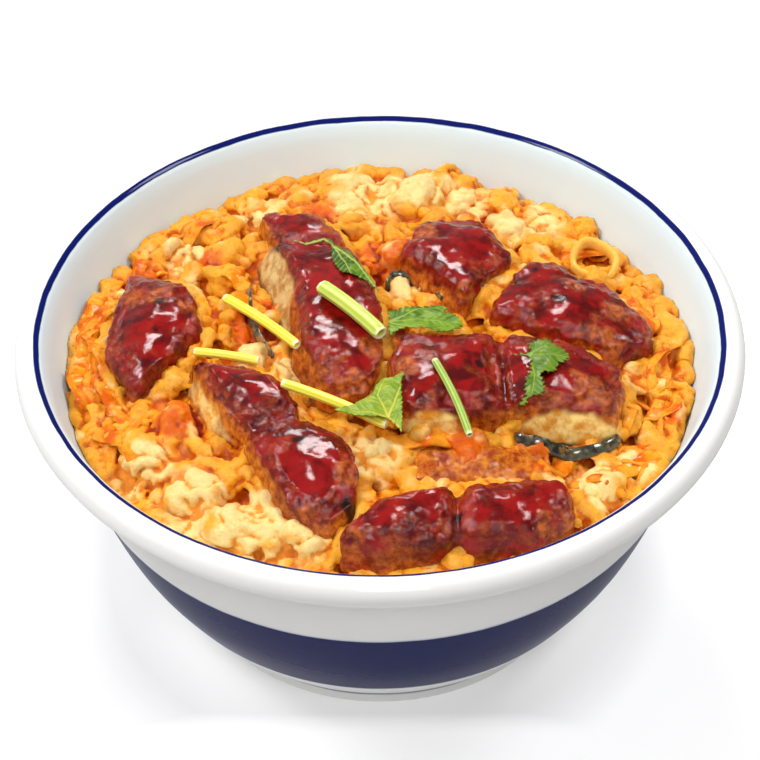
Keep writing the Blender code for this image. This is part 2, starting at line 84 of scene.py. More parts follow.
# Contents: the dome that the egg's top follows
DOME_RADIUS = 73.0
DOME_EDGE = 64.0           # its height at the wall
DOME_RISE = 9.5            # and how much higher it is in the middle
EGG_CUT = 60.0             # the egg piece is closed off flat at this height, under its top
CORE_DEPTH = 3.0           # how much deeper the copy of the heap is cut off first
EGG_VOXEL = 0.54
EGG_TRIANGLES = 190000
EEL_VOXEL = 0.5
SKY = 120.0                # well over everything, to look down from
SEED = 5

# The camera of the photograph, found from the ellipse of the rim line
CAMERA_DISTANCE = 0.500    # to the middle of the rim line's plane
CAMERA_HEIGHT_ANGLE = 41.38
CAMERA_PITCH = 42.90
CAMERA_ROLL = -0.37
CAMERA_LENS = 101.3
RIM_PLANE = 0.0785
# The paper's glow is turned down under the bowl and towards its left, which paints its shadow darker there
FLOOR_GLOW = 0.48          # how bright the paper is made beside the bowl, and under it
FLOOR_GLOW_PAINTED_SHADOW = 0.20
FLOOR_GLOW_FAR = 0.9       # and far away
FLOOR_FILL = 0.26          # how bright it is near the bowl for the light it throws up


# Selection and mesh helpers

def deselect():
    if bpy.context.object and bpy.context.object.mode != "OBJECT":
        bpy.ops.object.mode_set(mode="OBJECT")
    bpy.ops.object.select_all(action="DESELECT")


def select_only(*objects):
    deselect()
    for each in objects:
        each.select_set(True)
    bpy.context.view_layer.objects.active = objects[0]
    return objects[0]


def apply_modifier(piece, kind, **settings):
    select_only(piece)
    added = piece.modifiers.new(kind.lower(), kind)
    for key, value in settings.items():
        setattr(added, key, value)
    bpy.ops.object.modifier_apply(modifier=added.name)


def settle(piece):
    """Put the piece's place into its mesh."""
    select_only(piece)
    bpy.ops.object.transform_apply(location=True, rotation=True, scale=True)
    return piece


def joined(name, pieces):
    select_only(*pieces)
    bpy.ops.object.join()
    whole = bpy.context.object
    whole.name = name
    return whole


def copy_of_node(node, name):
    """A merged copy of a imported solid, to be worked finer."""
    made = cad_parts[node].copy()
    made.data = made.data.copy()
    made.name = name
    for key in [k for k in made.keys() if k.startswith("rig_")]:
        del made[key]
    made.parent = None
    bpy.context.scene.collection.objects.link(made)
    made.data.materials.clear()
    select_only(made)
    bpy.ops.object.mode_set(mode="EDIT")
    bpy.ops.mesh.select_all(action="SELECT")
    bpy.ops.mesh.remove_doubles(threshold=0.00001)
    bpy.ops.object.mode_set(mode="OBJECT")
    return made


def dress(piece, node, finish):
    """Give a piece its finish, and let it stand for its solid."""
    piece.data.materials.clear()
    piece.data.materials.append(finish)
    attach(piece, "root")
    if node:
        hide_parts(node)
    return piece


def get_points(piece):
    points = np.empty(len(piece.data.vertices) * 3)
    piece.data.vertices.foreach_get("co", points)
    return points.reshape(-1, 3) / MM


def get_normals(piece):
    normals = np.empty(len(piece.data.vertices) * 3)
    piece.data.vertices.foreach_get("normal", normals)
    return normals.reshape(-1, 3)


def set_points(piece, points):
    piece.data.vertices.foreach_set("co", (points * MM).ravel())
    piece.data.update()


def set_mask(piece, name, values):
    layer = piece.data.attributes.new(name, "FLOAT", "POINT")
    layer.data.foreach_set("value", np.clip(values, 0, 1).astype(np.float32))


def step(values, low, high):
    share = np.clip((values - low) / (high - low), 0, 1)
    return share * share * (3 - 2 * share)


def noise_at(points, size, shift=0.0, stretch=(1, 1, 1)):
    """Smooth noise of about this grain in millimetres, from -1 to 1, at each point."""
    places = points * np.array(stretch) / size + shift
    return np.array([noise.noise(Vector(p)) for p in places])


def averaged(piece, points, rounds):
    """The points after some rounds of averaging with their neighbours."""
    edges = np.empty(len(piece.data.edges) * 2, dtype=np.int64)
    piece.data.edges.foreach_get("vertices", edges)
    a, b = edges.reshape(-1, 2).T
    count = np.bincount(np.concatenate([a, b]), minlength=len(points))[:, None]
    result = points.copy()
    for _ in range(rounds):
        total = np.empty_like(result)
        for axis in range(3):
            total[:, axis] = np.bincount(a, result[b, axis], len(points))
            total[:, axis] += np.bincount(b, result[a, axis], len(points))
        result = total / count
    return result


def dome_height(x, y):
    return DOME_EDGE + DOME_RISE * (1 - (x * x + y * y) / DOME_RADIUS ** 2)


def smooth_through(points, steps):
    """Points on a Catmull-Rom curve through the given ones."""
    line = [Vector(p) for p in points]
    ends = [line[0] * 2 - line[1]] + line + [line[-1] * 2 - line[-2]]
    result = []
    for i in range(1, len(ends) - 2):
        a, b, c, d = ends[i - 1:i + 3]
        for k in range(steps):
            t = k / steps
            result.append(0.5 * (2 * b + (c - a) * t + (2 * a - 5 * b + 4 * c - d) * t * t
                                 + (3 * b - a - 3 * c + d) * t ** 3))
    result.append(line[-1])
    return result


def surface_of(*pieces):
    """A way to look down on these pieces from above."""
    corners, faces = [], []
    for piece in pieces:
        start = len(corners)
        corners.extend(Vector(p) for p in get_points(piece))
        faces.extend([start + i for i in face.vertices] for face in piece.data.polygons)
    return BVHTree.FromPolygons(corners, faces)


def height_on(surface, x, y, otherwise):
    hit = surface.ray_cast(Vector((x, y, SKY)), Vector((0, 0, -1)))[0]
    return otherwise if hit is None else hit.z


# Material helpers

class Finish:
    """A material with one Principled shader, and short ways to add nodes to it."""

    def __init__(self, name, **values):
        self.material = bpy.data.materials.new(name)
        self.material.use_nodes = True
        self.tree = self.material.node_tree
        self.shader = self.tree.nodes["Principled BSDF"]
        self.object_place = self.add("ShaderNodeTexCoord").outputs["Object"]
        for key, value in values.items():
            self.shader.inputs[key.replace("_", " ")].default_value = value

    def add(self, kind, settings=None, **inputs):
        node = self.tree.nodes.new(kind)
        for key, value in (settings or {}).items():
            setattr(node, key, value)
        for key, value in inputs.items():
            self.put(node.inputs[key.replace("_", " ")], value)
        return node

    def put(self, socket, value):
        if isinstance(value, bpy.types.NodeSocket):
            self.tree.links.new(value, socket)
        elif isinstance(value, tuple) and len(value) == 3 and socket.type == "RGBA":
            socket.default_value = (*value, 1.0)
        else:
            socket.default_value = value

    def noise(self, grain, detail=3.0, rough=0.55, twist=0.0, vector=None):
        """Noise whose grain is given in millimetres."""
        node = self.add("ShaderNodeTexNoise", Vector=vector or self.object_place, Scale=1.0 / (grain * MM),
                        Detail=detail, Roughness=rough, Distortion=twist)
        return node.outputs["Fac"]

    def mask(self, name):
        return self.add("ShaderNodeAttribute", {"attribute_name": name}).outputs["Fac"]

    def ramp(self, value, low, high, start=0.0, end=1.0):
        node = self.add("ShaderNodeMapRange", {"interpolation_type": "SMOOTHSTEP"}, Value=value)
        node.inputs["From Min"].default_value = low
        node.inputs["From Max"].default_value = high
        node.inputs["To Min"].default_value = start
        node.inputs["To Max"].default_value = end
        return node.outputs["Result"]

    def math(self, how, a, b=0.0, clamp=False):
        node = self.add("ShaderNodeMath", {"operation": how, "use_clamp": clamp})
        self.put(node.inputs[0], a)
        self.put(node.inputs[1], b)
        return node.outputs[0]

    def blend(self, share, first, second, how="MIX"):
        node = self.add("ShaderNodeMix", {"data_type": "RGBA", "blend_type": how})
        self.put(node.inputs[0], share)
        self.put(node.inputs[6], first)
        self.put(node.inputs[7], second)
        return node.outputs[2]

    def bump(self, height, distance, strength=1.0, under=None):
        node = self.add("ShaderNodeBump", Height=height, Distance=distance * MM, Strength=strength)
        if under is not None:
            self.tree.links.new(under, node.inputs["Normal"])
        return node.outputs["Normal"]

    def use(self, **inputs):
        for key, value in inputs.items():
            self.put(self.shader.inputs[key.replace("_", " ")], value)
        return self.material


def srgb(red, green, blue):
    """A colour given as 0 to 255 display values."""
    def linear(value):
        value = value / 255
        return value / 12.92 if value <= 0.04045 else ((value + 0.055) / 1.055) ** 2.4
    return (linear(red), linear(green), linear(blue))


def porcelain_finish():
    made = Finish("porcelain", IOR=1.5, Coat_Weight=0.32, Coat_Roughness=0.05, Specular_IOR_Level=0.0)
    place = made.add("ShaderNodeSeparateXYZ", Vector=made.object_place)
    z = place.outputs["Z"]
    x, y = place.outputs["X"], place.outputs["Y"]
    across = made.math("SQRT", made.math("ADD", made.math("MULTIPLY", x, x), made.math("MULTIPLY", y, y)))
    wobble = made.math("MULTIPLY", made.math("SUBTRACT", made.noise(9.0, 2.0), 0.5), 0.5 * MM)

    def stripe(value, low, high, edge):
        """1 between two values, with soft edges."""
        value = made.math("ADD", value, wobble)
        rise = made.ramp(value, (low - edge) * MM, (low + edge) * MM)
        fall = made.ramp(value, (high - edge) * MM, (high + edge) * MM, 1.0, 0.0)
        return made.math("MULTIPLY", rise, fall)

    outside = made.mask("outside")
    line = made.math("MULTIPLY", stripe(across, RIM_LINE_RADIUS - RIM_LINE_WIDTH / 2,
                                        RIM_LINE_RADIUS + RIM_LINE_WIDTH / 2, 0.12),
                     made.math("SUBTRACT", 1.0, outside))
    line = made.math("MULTIPLY", line, made.ramp(z, 0.0768, 0.0772))
    band = made.math("MULTIPLY", stripe(z, BAND_LOW, BAND_HIGH, 0.25), outside)
    bleed = made.math("MULTIPLY", stripe(z, BAND_LOW - 0.5, BAND_HIGH + 0.5, 0.7), outside)
    thin = made.math("MULTIPLY", stripe(z, FOOT_LINE_LOW, FOOT_LINE_HIGH, 0.2), outside)
    cloud = made.noise(14.0, 4.0)
    white = made.blend(cloud, srgb(232, 231, 229), srgb(237, 236, 234))
    # Painted light: the inside wall under the rim is tinted cool blue to cancel the warm light that the food
    # throws onto it
    white = made.blend(made.math("MULTIPLY", made.mask("bounce_tinted_lining"), 0.9), white, srgb(226, 248, 255))
    navy = made.blend(made.noise(5.0, 5.0, 0.6), srgb(0, 8, 66), srgb(6, 20, 90))
    colour = made.blend(made.math("MULTIPLY", bleed, 0.4), white, srgb(120, 146, 186))
    colour = made.blend(band, colour, navy)
    colour = made.blend(made.math("MULTIPLY", thin, 0.75), colour, srgb(92, 108, 140))
    colour = made.blend(line, colour, srgb(14, 26, 98))
    rough = made.ramp(made.noise(3.0, 3.0), 0.3, 0.7, 0.07, 0.12)
    normal = made.bump(made.noise(7.0, 2.0), 0.02, 0.35)
    return made.use(Base_Color=colour, Roughness=rough, Normal=normal)


def egg_finish():
    made = Finish("soft_egg", IOR=1.4, Subsurface_Weight=0.06, Subsurface_Scale=0.0008,
                  Coat_Weight=0.5, Coat_Roughness=0.06, Coat_IOR=1.4, Specular_IOR_Level=0.05)
    made.shader.inputs["Subsurface Radius"].default_value = (1.0, 0.5, 0.15)
    hollow_sauce_and_shade = made.mask("hollow_sauce_and_shade")
    pale = made.mask("pale")
    sauce = made.mask("sauce")
    patches = made.noise(6.0, 6.0, 0.66, 0.4)
    fine = made.noise(0.9, 5.0, 0.7)
    grit = made.noise(2.4, 6.0, 0.7)
    # Painted light: the raised tops of the curds are made lighter and creamier, as if lit
    lit_crest = made.ramp(hollow_sauce_and_shade, 0.18, 0.42, 1.0, 0.0)
    gold = made.blend(made.ramp(patches, 0.42, 0.6), srgb(240, 148, 16), srgb(214, 100, 4))
    gold = made.blend(made.ramp(grit, 0.5, 0.64), gold, srgb(247, 171, 40))
    gold = made.blend(made.math("MULTIPLY", lit_crest, 0.6), gold, srgb(250, 183, 58))
    gold = made.blend(made.math("MULTIPLY", made.ramp(fine, 0.56, 0.68), 0.55), gold, srgb(206, 98, 8))
    cream = made.blend(made.ramp(grit, 0.38, 0.56), srgb(243, 183, 82), srgb(250, 211, 134))
    cream = made.blend(made.math("MULTIPLY", lit_crest, 0.6), cream, srgb(253, 222, 152))
    cream = made.blend(made.math("MULTIPLY", made.ramp(fine, 0.56, 0.7), 0.45), cream, srgb(236, 156, 56))
    # Sauce in the hollows and painted shade: the cream turns darker orange down in them
    cream = made.blend(made.ramp(hollow_sauce_and_shade, 0.4, 0.75, 0.0, 0.9), cream, srgb(236, 142, 34))
    seep = made.math("ADD", made.math("MULTIPLY", sauce, 0.8),
                     made.math("MULTIPLY", made.math("SUBTRACT", made.noise(3.6, 6.0, 0.68), 0.5), 1.7))
    gold = made.blend(made.ramp(seep, 0.25, 0.9), gold, srgb(222, 94, 6))
    # Sauce settled in the hollows, with painted shade: darker orange-brown deep in them
    sunk = made.blend(made.ramp(made.noise(5.0, 3.0), 0.4, 0.6), srgb(208, 92, 4), srgb(172, 54, 2))
    gold = made.blend(made.ramp(hollow_sauce_and_shade, 0.42, 0.85, 0.0, 0.92), gold, sunk)
    colour = made.blend(pale, gold, cream)
    # The deepest hollows inside the sauce spots go dark red: pooled sauce and painted shade
    deep = made.math("MULTIPLY", made.ramp(hollow_sauce_and_shade, 0.5, 0.95), made.ramp(sauce, 0.1, 0.7))
    colour = made.blend(made.math("MULTIPLY", deep, 0.85), colour, srgb(150, 24, 4))
    rough = made.ramp(made.noise(2.0, 3.0), 0.3, 0.7, 0.4, 0.6)
    grain = made.bump(made.noise(0.5, 4.0, 0.65), 0.2, 1.0)
    normal = made.bump(grit, 0.9, 0.8, grain)
    made.tree.links.new(made.bump(made.noise(1.2, 4.0, 0.6), 0.5, 0.8), made.shader.inputs["Coat Normal"])
    return made.use(Base_Color=colour, Roughness=rough, Normal=normal)


def eel_finish():
    made = Finish("glazed_eel", IOR=1.45, Coat_Roughness=0.06, Coat_IOR=1.42,
                  Specular_IOR_Level=0.05, Subsurface_Weight=0.04, Subsurface_Scale=0.0012)
    made.shader.inputs["Subsurface Radius"].default_value = (1.0, 0.3, 0.15)
    flesh = made.mask("flesh")
    skin = made.mask("skin")
    edge = made.mask("edge")
    crisp = made.mask("crisp")
    patches = made.noise(5.5, 5.0, 0.6, 0.4)
    fine = made.noise(1.8, 6.0, 0.66)
    glaze = made.blend(made.ramp(patches, 0.36, 0.62), srgb(82, 5, 8), srgb(146, 14, 13))
    glaze = made.blend(made.math("MULTIPLY", made.ramp(fine, 0.45, 0.7), crisp), glaze, srgb(156, 58, 24))
    brown = made.blend(made.ramp(fine, 0.32, 0.68), srgb(112, 32, 8), srgb(200, 100, 32))
    colour = made.blend(edge, glaze, brown)
    toast = made.blend(made.ramp(fine, 0.32, 0.68), srgb(164, 58, 10), srgb(236, 146, 42))
    colour = made.blend(made.math("MULTIPLY", made.mask("rust"), 0.8), colour, toast)
    spots = made.ramp(made.noise(2.4, 5.0, 0.7, 0.5), 0.60, 0.70)
    freckles = made.math("MULTIPLY", spots, made.math("MULTIPLY", crisp, 0.6))
    char = made.math("MAXIMUM", made.mask("char"), freckles)
    colour = made.blend(made.math("MULTIPLY", char, 0.9), colour, srgb(34, 12, 10))
    meat = made.blend(made.ramp(made.noise(3.0, 5.0, 0.6), 0.36, 0.64),
                      srgb(178, 122, 58), srgb(222, 186, 122))
    rich = made.blend(made.ramp(made.noise(3.4, 5.0, 0.6), 0.34, 0.6),
                      srgb(224, 146, 40), srgb(252, 220, 136))
    meat = made.blend(made.mask("golden"), meat, rich)
    colour = made.blend(flesh, colour, meat)
    back = made.blend(made.noise(1.8, 4.0), srgb(28, 30, 28), srgb(84, 86, 70))
    colour = made.blend(skin, colour, back)
    matt = made.math("MAXIMUM", flesh, made.math("MULTIPLY", edge, 0.7))
    rough = made.ramp(matt, 0.0, 1.0, 0.25, 0.5)
    broken = made.math("MULTIPLY", crisp, made.math("SUBTRACT", 1.0, made.math("MULTIPLY", flesh, 0.7)))
    grain = made.bump(made.noise(0.8, 4.0, 0.65), 0.16, made.ramp(broken, 0.0, 1.0, 0.08, 0.7))
    normal = made.bump(made.noise(2.6, 4.0, 0.6, 0.3), 0.4, made.ramp(broken, 0.0, 1.0, 0.12, 0.7), grain)
    coat = made.bump(made.noise(1.1, 4.0, 0.65, 0.3), 0.3, made.ramp(broken, 0.0, 1.0, 0.14, 0.9))
    made.tree.links.new(coat, made.shader.inputs["Coat Normal"])
    wet = made.ramp(flesh, 0.1, 0.9, 0.85, 0.5)
    return made.use(Base_Color=colour, Roughness=rough, Normal=normal, Coat_Weight=wet)


def leaf_finish(name, light, dark, vein):
    made = Finish(name, IOR=1.4, Coat_Weight=0.2, Coat_Roughness=0.22, Specular_IOR_Level=0.2,
                  Subsurface_Weight=0.12, Subsurface_Scale=0.0006)
    rib = made.mask("rib")
    branch = made.mask("branch")
    colour = made.blend(made.ramp(made.noise(3.2, 4.0), 0.36, 0.66), srgb(*dark), srgb(*light))
    colour = made.blend(made.math("MULTIPLY", branch, 0.35), colour, srgb(*vein))
    colour = made.blend(made.math("MULTIPLY", rib, 0.85), colour, srgb(*vein))
    normal = made.bump(made.noise(0.7, 3.0), 0.1, 0.5)
    rough = made.ramp(made.noise(2.0), 0.3, 0.7, 0.34, 0.5)
    return made.use(Base_Color=colour, Roughness=rough, Normal=normal)


def stem_finish(name, light, dark):
    made = Finish(name, IOR=1.4, Coat_Weight=0.4, Coat_Roughness=0.12, Subsurface_Weight=0.2,
                  Subsurface_Scale=0.001)
    streak = made.math("ADD", made.math("MULTIPLY", made.mask("groove"), 0.6),
                       made.math("MULTIPLY", made.noise(3.0, 3.0), 0.4))
    colour = made.blend(made.ramp(streak, 0.3, 0.72), srgb(*dark), srgb(*light))
    colour = made.blend(made.mask("cut_end"), colour, srgb(246, 246, 200))
    return made.use(Base_Color=colour, Roughness=made.ramp(streak, 0.3, 0.7, 0.22, 0.38),
                    Normal=made.bump(made.noise(0.8, 2.0), 0.05, 0.5))


def sauce_finish():
    made = Finish("sauce", Roughness=0.06, IOR=1.42, Coat_Weight=1.0, Coat_Roughness=0.02)
    colour = made.blend(made.ramp(made.noise(6.0, 4.0), 0.35, 0.65), srgb(128, 22, 4), srgb(206, 84, 8))
    return made.use(Base_Color=colour, Normal=made.bump(made.noise(3.0, 2.0), 0.25, 0.3))


def skin_finish():
    made = Finish("eel_skin", IOR=1.45, Roughness=0.25, Coat_Weight=1.0, Coat_Roughness=0.05)
    black = made.ramp(made.noise(2.0, 5.0, 0.6), 0.35, 0.65)
    colour = made.blend(black, srgb(22, 20, 16), srgb(84, 80, 54))
    colour = made.blend(made.ramp(made.noise(2.2, 4.0, 0.6), 0.52, 0.64), colour, srgb(150, 104, 44))
    return made.use(Base_Color=colour, Normal=made.bump(made.noise(1.4, 3.0), 0.25, 0.6))


def onion_finish():
    made = Finish("onion", IOR=1.4, Roughness=0.5, Coat_Weight=0.35, Coat_Roughness=0.1, Coat_IOR=1.4,
                  Specular_IOR_Level=0.08, Subsurface_Weight=0.1, Subsurface_Scale=0.0015)
    made.shader.inputs["Subsurface Radius"].default_value = (1.0, 0.5, 0.15)
    streak = made.mask("streak")
    clear = made.mask("clear")
    patches = made.ramp(made.noise(6.0, 5.0, 0.6), 0.42, 0.58)
    specks = made.ramp(made.noise(1.4, 5.0, 0.65), 0.5, 0.66)
    colour = made.blend(patches, srgb(236, 138, 14), srgb(206, 88, 2))
    colour = made.blend(made.math("MULTIPLY", made.ramp(streak, 0.3, 0.9), 0.6), colour, srgb(246, 172, 50))
    colour = made.blend(made.math("MULTIPLY", specks, 0.6), colour, srgb(214, 92, 4))
    colour = made.blend(clear, colour, srgb(248, 196, 86))
    return made.use(Base_Color=colour, Normal=made.bump(made.noise(1.1, 4.0, 0.65), 0.3, 0.8))


# Bowl

def make_bowl(finish):
    """Trace the profile as one edge loop and spin it."""
    lip_r, lip_z = LIP_CENTRE
    lip = []
    for degrees in range(LIP_ARC[0], LIP_ARC[1] + 1, LIP_ARC[2]):
        angle = math.radians(degrees)
        lip.append((lip_r + LIP_BEAD * math.cos(angle), lip_z + LIP_BEAD * math.sin(angle)))
    outer = [tuple(p) for p in smooth_through(OUTER_WALL, 5)]
    inner = [tuple(p) for p in smooth_through(INNER_WALL, 5)]
    profile = FOOT_PROFILE + outer + lip + inner
    deselect()
    bpy.ops.mesh.primitive_plane_add(size=0.01)
    bowl = bpy.context.object
    bowl.name = "porcelain_bowl"
    bpy.ops.object.mode_set(mode="EDIT")
    bpy.ops.mesh.merge(type="CENTER")
    bpy.ops.transform.translate(value=(profile[0][0] * MM, 0, profile[0][1] * MM))
    for (r0, z0), (r1, z1) in zip(profile, profile[1:]):
        move = ((r1 - r0) * MM, 0, (z1 - z0) * MM)
        bpy.ops.mesh.extrude_region_move(TRANSFORM_OT_translate={"value": move})
    bpy.ops.mesh.select_all(action="SELECT")
    bpy.ops.mesh.spin(steps=SPIN_STEPS, angle=2 * math.pi, center=(0, 0, 0), axis=(0, 0, 1))
    bpy.ops.mesh.select_all(action="SELECT")
    bpy.ops.mesh.remove_doubles(threshold=0.00002)
    bpy.ops.mesh.normals_make_consistent(inside=False)
    bpy.ops.object.mode_set(mode="OBJECT")
    bpy.ops.object.shade_smooth()
    points = get_points(bowl)
    reach = np.hypot(points[:, 0], points[:, 1])
    normals = get_normals(bowl)
    outward = (normals[:, :2] * points[:, :2]).sum(axis=1) / np.maximum(reach, 0.001)
    outside = (outward > 0) & (points[:, 2] < lip_z) | (points[:, 2] < 4.4)
    set_mask(bowl, "outside", outside.astype(float))
    # The inner wall under the rim, where the cool tint against the food's bounced light is painted
    set_mask(bowl, "bounce_tinted_lining", (1 - outside) * step(-reach, -79.9, -78.8))
    return dress(bowl, "bowl", finish)


# Egg

PALE_SPOTS = [((-2.6, 56.0), 14.0), ((10.4, 57.8), 12.0), ((21.1, 55.6), 10.0), ((-28.0, -8.6), 7.0),
              ((-20.8, -13.9), 6.0), ((-1.3, -39.5), 10.0), ((-41.1, -49.5), 11.0), ((-28.0, -57.6), 13.0),
              ((-16.4, -60.7), 8.0), ((-32.1, -62.3), 9.0), ((-49.2, 36.3), 8.0), ((-53.5, -37.9), 9.0),
              ((46.4, -40.8), 6.0), ((47.9, -47.1), 6.0), ((40.2, 47.3), 9.0), ((32.5, 45.4), 8.0),
              ((-60.0, 24.0), 6.0), ((-30.0, 52.0), 7.0), ((6.0, 18.0), 6.0), ((57.0, -38.0), 5.0)]
SAUCE_SPOTS = [((4.0, 28.0), 11.0), ((-31.0, 4.0), 8.0), ((-46.0, -26.4), 9.0), ((-26.9, 8.7), 6.0),
               ((19.0, -39.0), 10.0), ((36.0, -40.0), 8.0), ((66.0, -20.0), 7.0), ((-14.0, 50.0), 8.0),
               ((-58.0, 30.0), 8.0), ((-18.0, 36.0), 6.0), ((-70.0, -6.0), 9.0), ((64.0, 8.0), 6.0),
               ((24.0, 52.0), 6.0), ((-42.0, 30.0), 6.0)]
SAUCE_REACH = 73.6         # the sauce runs out to the wall of the bowl
SAUCE_EDGE_RISE = 2.6      # and stands this much higher there
EXTRA_LUMPS = 230
RIM_LUMPS = 76             # curds against the wall of the bowl
RIM_REACH = (70.9, 72.3)


def near_spots(points, spots):
    """How far each point is inside the nearest of some round spots, 0 to 1."""
    best = np.zeros(len(points))
    for (x, y), reach in spots:
        away = np.hypot(points[:, 0] - x, points[:, 1] - y)
        best = np.maximum(best, 1 - np.clip(away / reach, 0, 1))
    return best


def warped(points, size, amount, shift=0.0):
    """The points pushed about by smooth noise, so that patterns laid on them don't look regular."""
    pushes = np.array([noise.noise_vector(Vector(p)) for p in points / size + shift])
    return points + pushes * amount


def domes(points, size, shift=0.0):
    """Rounded cells of about this size: 1 on top of each, falling to creases between them."""
    result = np.empty(len(points))
    for i, p in enumerate(points / size + shift):
        nearest = noise.voronoi(Vector(p))[0][0]
        result[i] = 1.0 - 1.5 * nearest * nearest
    return result


def add_lump(centre, half, turn):
    bpy.ops.mesh.primitive_ico_sphere_add(subdivisions=2, radius=MM, location=tuple(c * MM for c in centre),
                                          rotation=turn, scale=half)
    return bpy.context.object


def keep_inside_bowl(points, gap):
    heights = np.array([z for _, z in INNER_WALL][::-1])
    radii = np.array([r for r, _ in INNER_WALL][::-1])
    limit = np.interp(points[:, 2], heights, radii) - gap
    reach = np.hypot(points[:, 0], points[:, 1])
    points[:, :2] *= np.minimum(1.0, limit / np.maximum(reach, 1e-6))[:, None]
    return points


def bisect_flat(piece, height):
    select_only(piece)
    bpy.ops.object.mode_set(mode="EDIT")
    bpy.ops.mesh.select_all(action="SELECT")
    bpy.ops.mesh.bisect(plane_co=(0, 0, height * MM), plane_no=(0, 0, 1), use_fill=True, clear_inner=True)
    bpy.ops.object.mode_set(mode="OBJECT")


# Faces of the eel that stay clear of egg: which way each faces, in degrees from +X
OPEN_FACES = {
    "eel_center": 192, "eel_center_back": 190, "eel_front_left_upper": 222,
    "eel_back_right": 228, "eel_middle": 268, "eel_middle_right": 266,
    "eel_front": 262, "eel_front_right": 262,
}
EEL_NODES = ["eel_left", "eel_center", "eel_center_back", "eel_front_left_upper", "eel_front_left_lower",
             "eel_back_right", "eel_right", "eel_middle", "eel_middle_right", "eel_front", "eel_front_right",
             "eel_sunk"]
PILE_TURN = 10             # degrees between the curds piled against a piece
PILE_CLEAR = 48            # degrees either way of an open face that stay clear


def piled_lumps(draw):
    """Curds pushed up against the sides of the eel, except where its cut face shows."""
    lumps = []
    for node in EEL_NODES:
        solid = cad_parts[node]
        sides = surface_of(solid)
        points = get_points(solid)
        cx, cy = points[:, 0].mean(), points[:, 1].mean()
        for degrees in range(0, 360, PILE_TURN):
            way = math.radians(degrees + draw.uniform(-3, 3))
            out = Vector((math.cos(way), math.sin(way), 0))
            start = Vector((cx, cy, dome_height(cx, cy) + 3.2)) + out * 60
            spot, face_way, _, _ = sides.ray_cast(start, -out)
            if spot is None:
                continue
            turn = math.degrees(math.atan2(face_way.y, face_way.x)) - OPEN_FACES.get(node, 90)
            bare = node in OPEN_FACES and abs((turn + 180) % 360 - 180) < PILE_CLEAR
            size = draw.uniform(2.0, 3.2)
            lift = 0.4 if bare else draw.uniform(2.2, 4.4)
            x = spot.x + face_way.x * size * 0.5
            y = spot.y + face_way.y * size * 0.5
            if math.hypot(x, y) > DOME_RADIUS - 2.0:
                continue
            half = (size * draw.uniform(0.9, 1.4), size, size * 0.8)
            lumps.append(add_lump((x, y, dome_height(x, y) + lift), half, (0, 0, draw.uniform(0, math.pi))))
    return lumps


def make_egg(finish):
    """The heap's own curds with more round them, melted into one skin and crumpled."""
    draw = random.Random(SEED)
    core = copy_of_node("egg_and_onion", "egg_core")
    bisect_flat(core, EGG_CUT - CORE_DEPTH)
    lumps = [core]
    for _ in range(EXTRA_LUMPS):
        angle = draw.uniform(0, 2 * math.pi)
        reach = (DOME_RADIUS - 3.0) * math.sqrt(draw.uniform(0, 1))
        x, y = reach * math.cos(angle), reach * math.sin(angle)
        size = draw.uniform(2.0, 5.0)
        half = (size * draw.uniform(1.0, 1.9), size, size * draw.uniform(0.5, 0.8))
        lift = draw.uniform(0.4, 2.4)
        turn = (draw.uniform(-0.5, 0.5), draw.uniform(-0.5, 0.5), draw.uniform(0, math.pi))
        lumps.append(add_lump((x, y, dome_height(x, y) + lift), half, turn))
    lumps += piled_lumps(draw)
    for place in range(RIM_LUMPS):
        angle = 2 * math.pi * (place + draw.uniform(-0.3, 0.3)) / RIM_LUMPS
        reach = draw.uniform(*RIM_REACH)
        size = draw.uniform(2.8, 4.2)
        half = (size, size * draw.uniform(0.9, 1.6), size * draw.uniform(0.7, 0.9))
        spot = (reach * math.cos(angle), reach * math.sin(angle), DOME_EDGE + draw.uniform(-0.6, 2.6))
        lumps.append(add_lump(spot, half, (0, 0, angle)))
    egg = joined("egg_mass", lumps)
    settle(egg)
    apply_modifier(egg, "REMESH", mode="VOXEL", voxel_size=EGG_VOXEL * MM)
    apply_modifier(egg, "SMOOTH", factor=0.5, iterations=4)
    points = get_points(egg)
    normals = get_normals(egg)
    bent = warped(points, 6.0, 3.0)
    swirled = warped(points, 9.0, 6.0, 3.0)
    folds = np.sqrt(np.abs(noise_at(swirled, 8.5, 17.0, (1.0, 0.55, 1.0))) * 2.2)
    curds = domes(bent, 6.0)
    share = step(noise_at(points, 14.0, 27.0), -0.35, 0.15)
    swell = (folds * share + curds * (1 - share)) * 1.9
    swell += np.sqrt(np.abs(noise_at(warped(points, 4.0, 2.5, 5.0), 3.0, 37.0, (0.5, 1.0, 1.0))) * 2.2) * 0.5
    swell += noise_at(points, 1.3, 9.0) * 0.35 + noise_at(points, 0.8, 19.0) * 0.15
    points = points + normals * (swell - 1.5)[:, None]
    set_points(egg, keep_inside_bowl(points, 0.25))
    bisect_flat(egg, EGG_CUT)
    triangles = sum(len(face.vertices) - 2 for face in egg.data.polygons)
    apply_modifier(egg, "DECIMATE", ratio=min(1.0, EGG_TRIANGLES / triangles))
    bpy.ops.object.shade_smooth()
    points = get_points(egg)
    normals = get_normals(egg)
    bent = warped(points, 3.0, 1.6)
    # How far each point sits below its neighbours; the finish paints shade, with settled sauce, into these
    # hollows
    near = averaged(egg, points, 6)
    wide = averaged(egg, near, 40)
    sunk = ((near - points) * normals).sum(axis=1) / 0.55 + ((wide - points) * normals).sum(axis=1) / 2.2
    set_mask(egg, "hollow_sauce_and_shade", 0.42 + sunk * 0.5)
    pale = near_spots(points, PALE_SPOTS) + noise_at(bent, 4.0, 11.0) * 0.6
    sauce = near_spots(points, SAUCE_SPOTS) + noise_at(points, 7.0, 23.0) * 0.35
    set_mask(egg, "pale", step(pale, 0.1, 0.5))
    set_mask(egg, "sauce", step(sauce, 0.05, 0.6))
    return dress(egg, "egg_and_onion", finish)


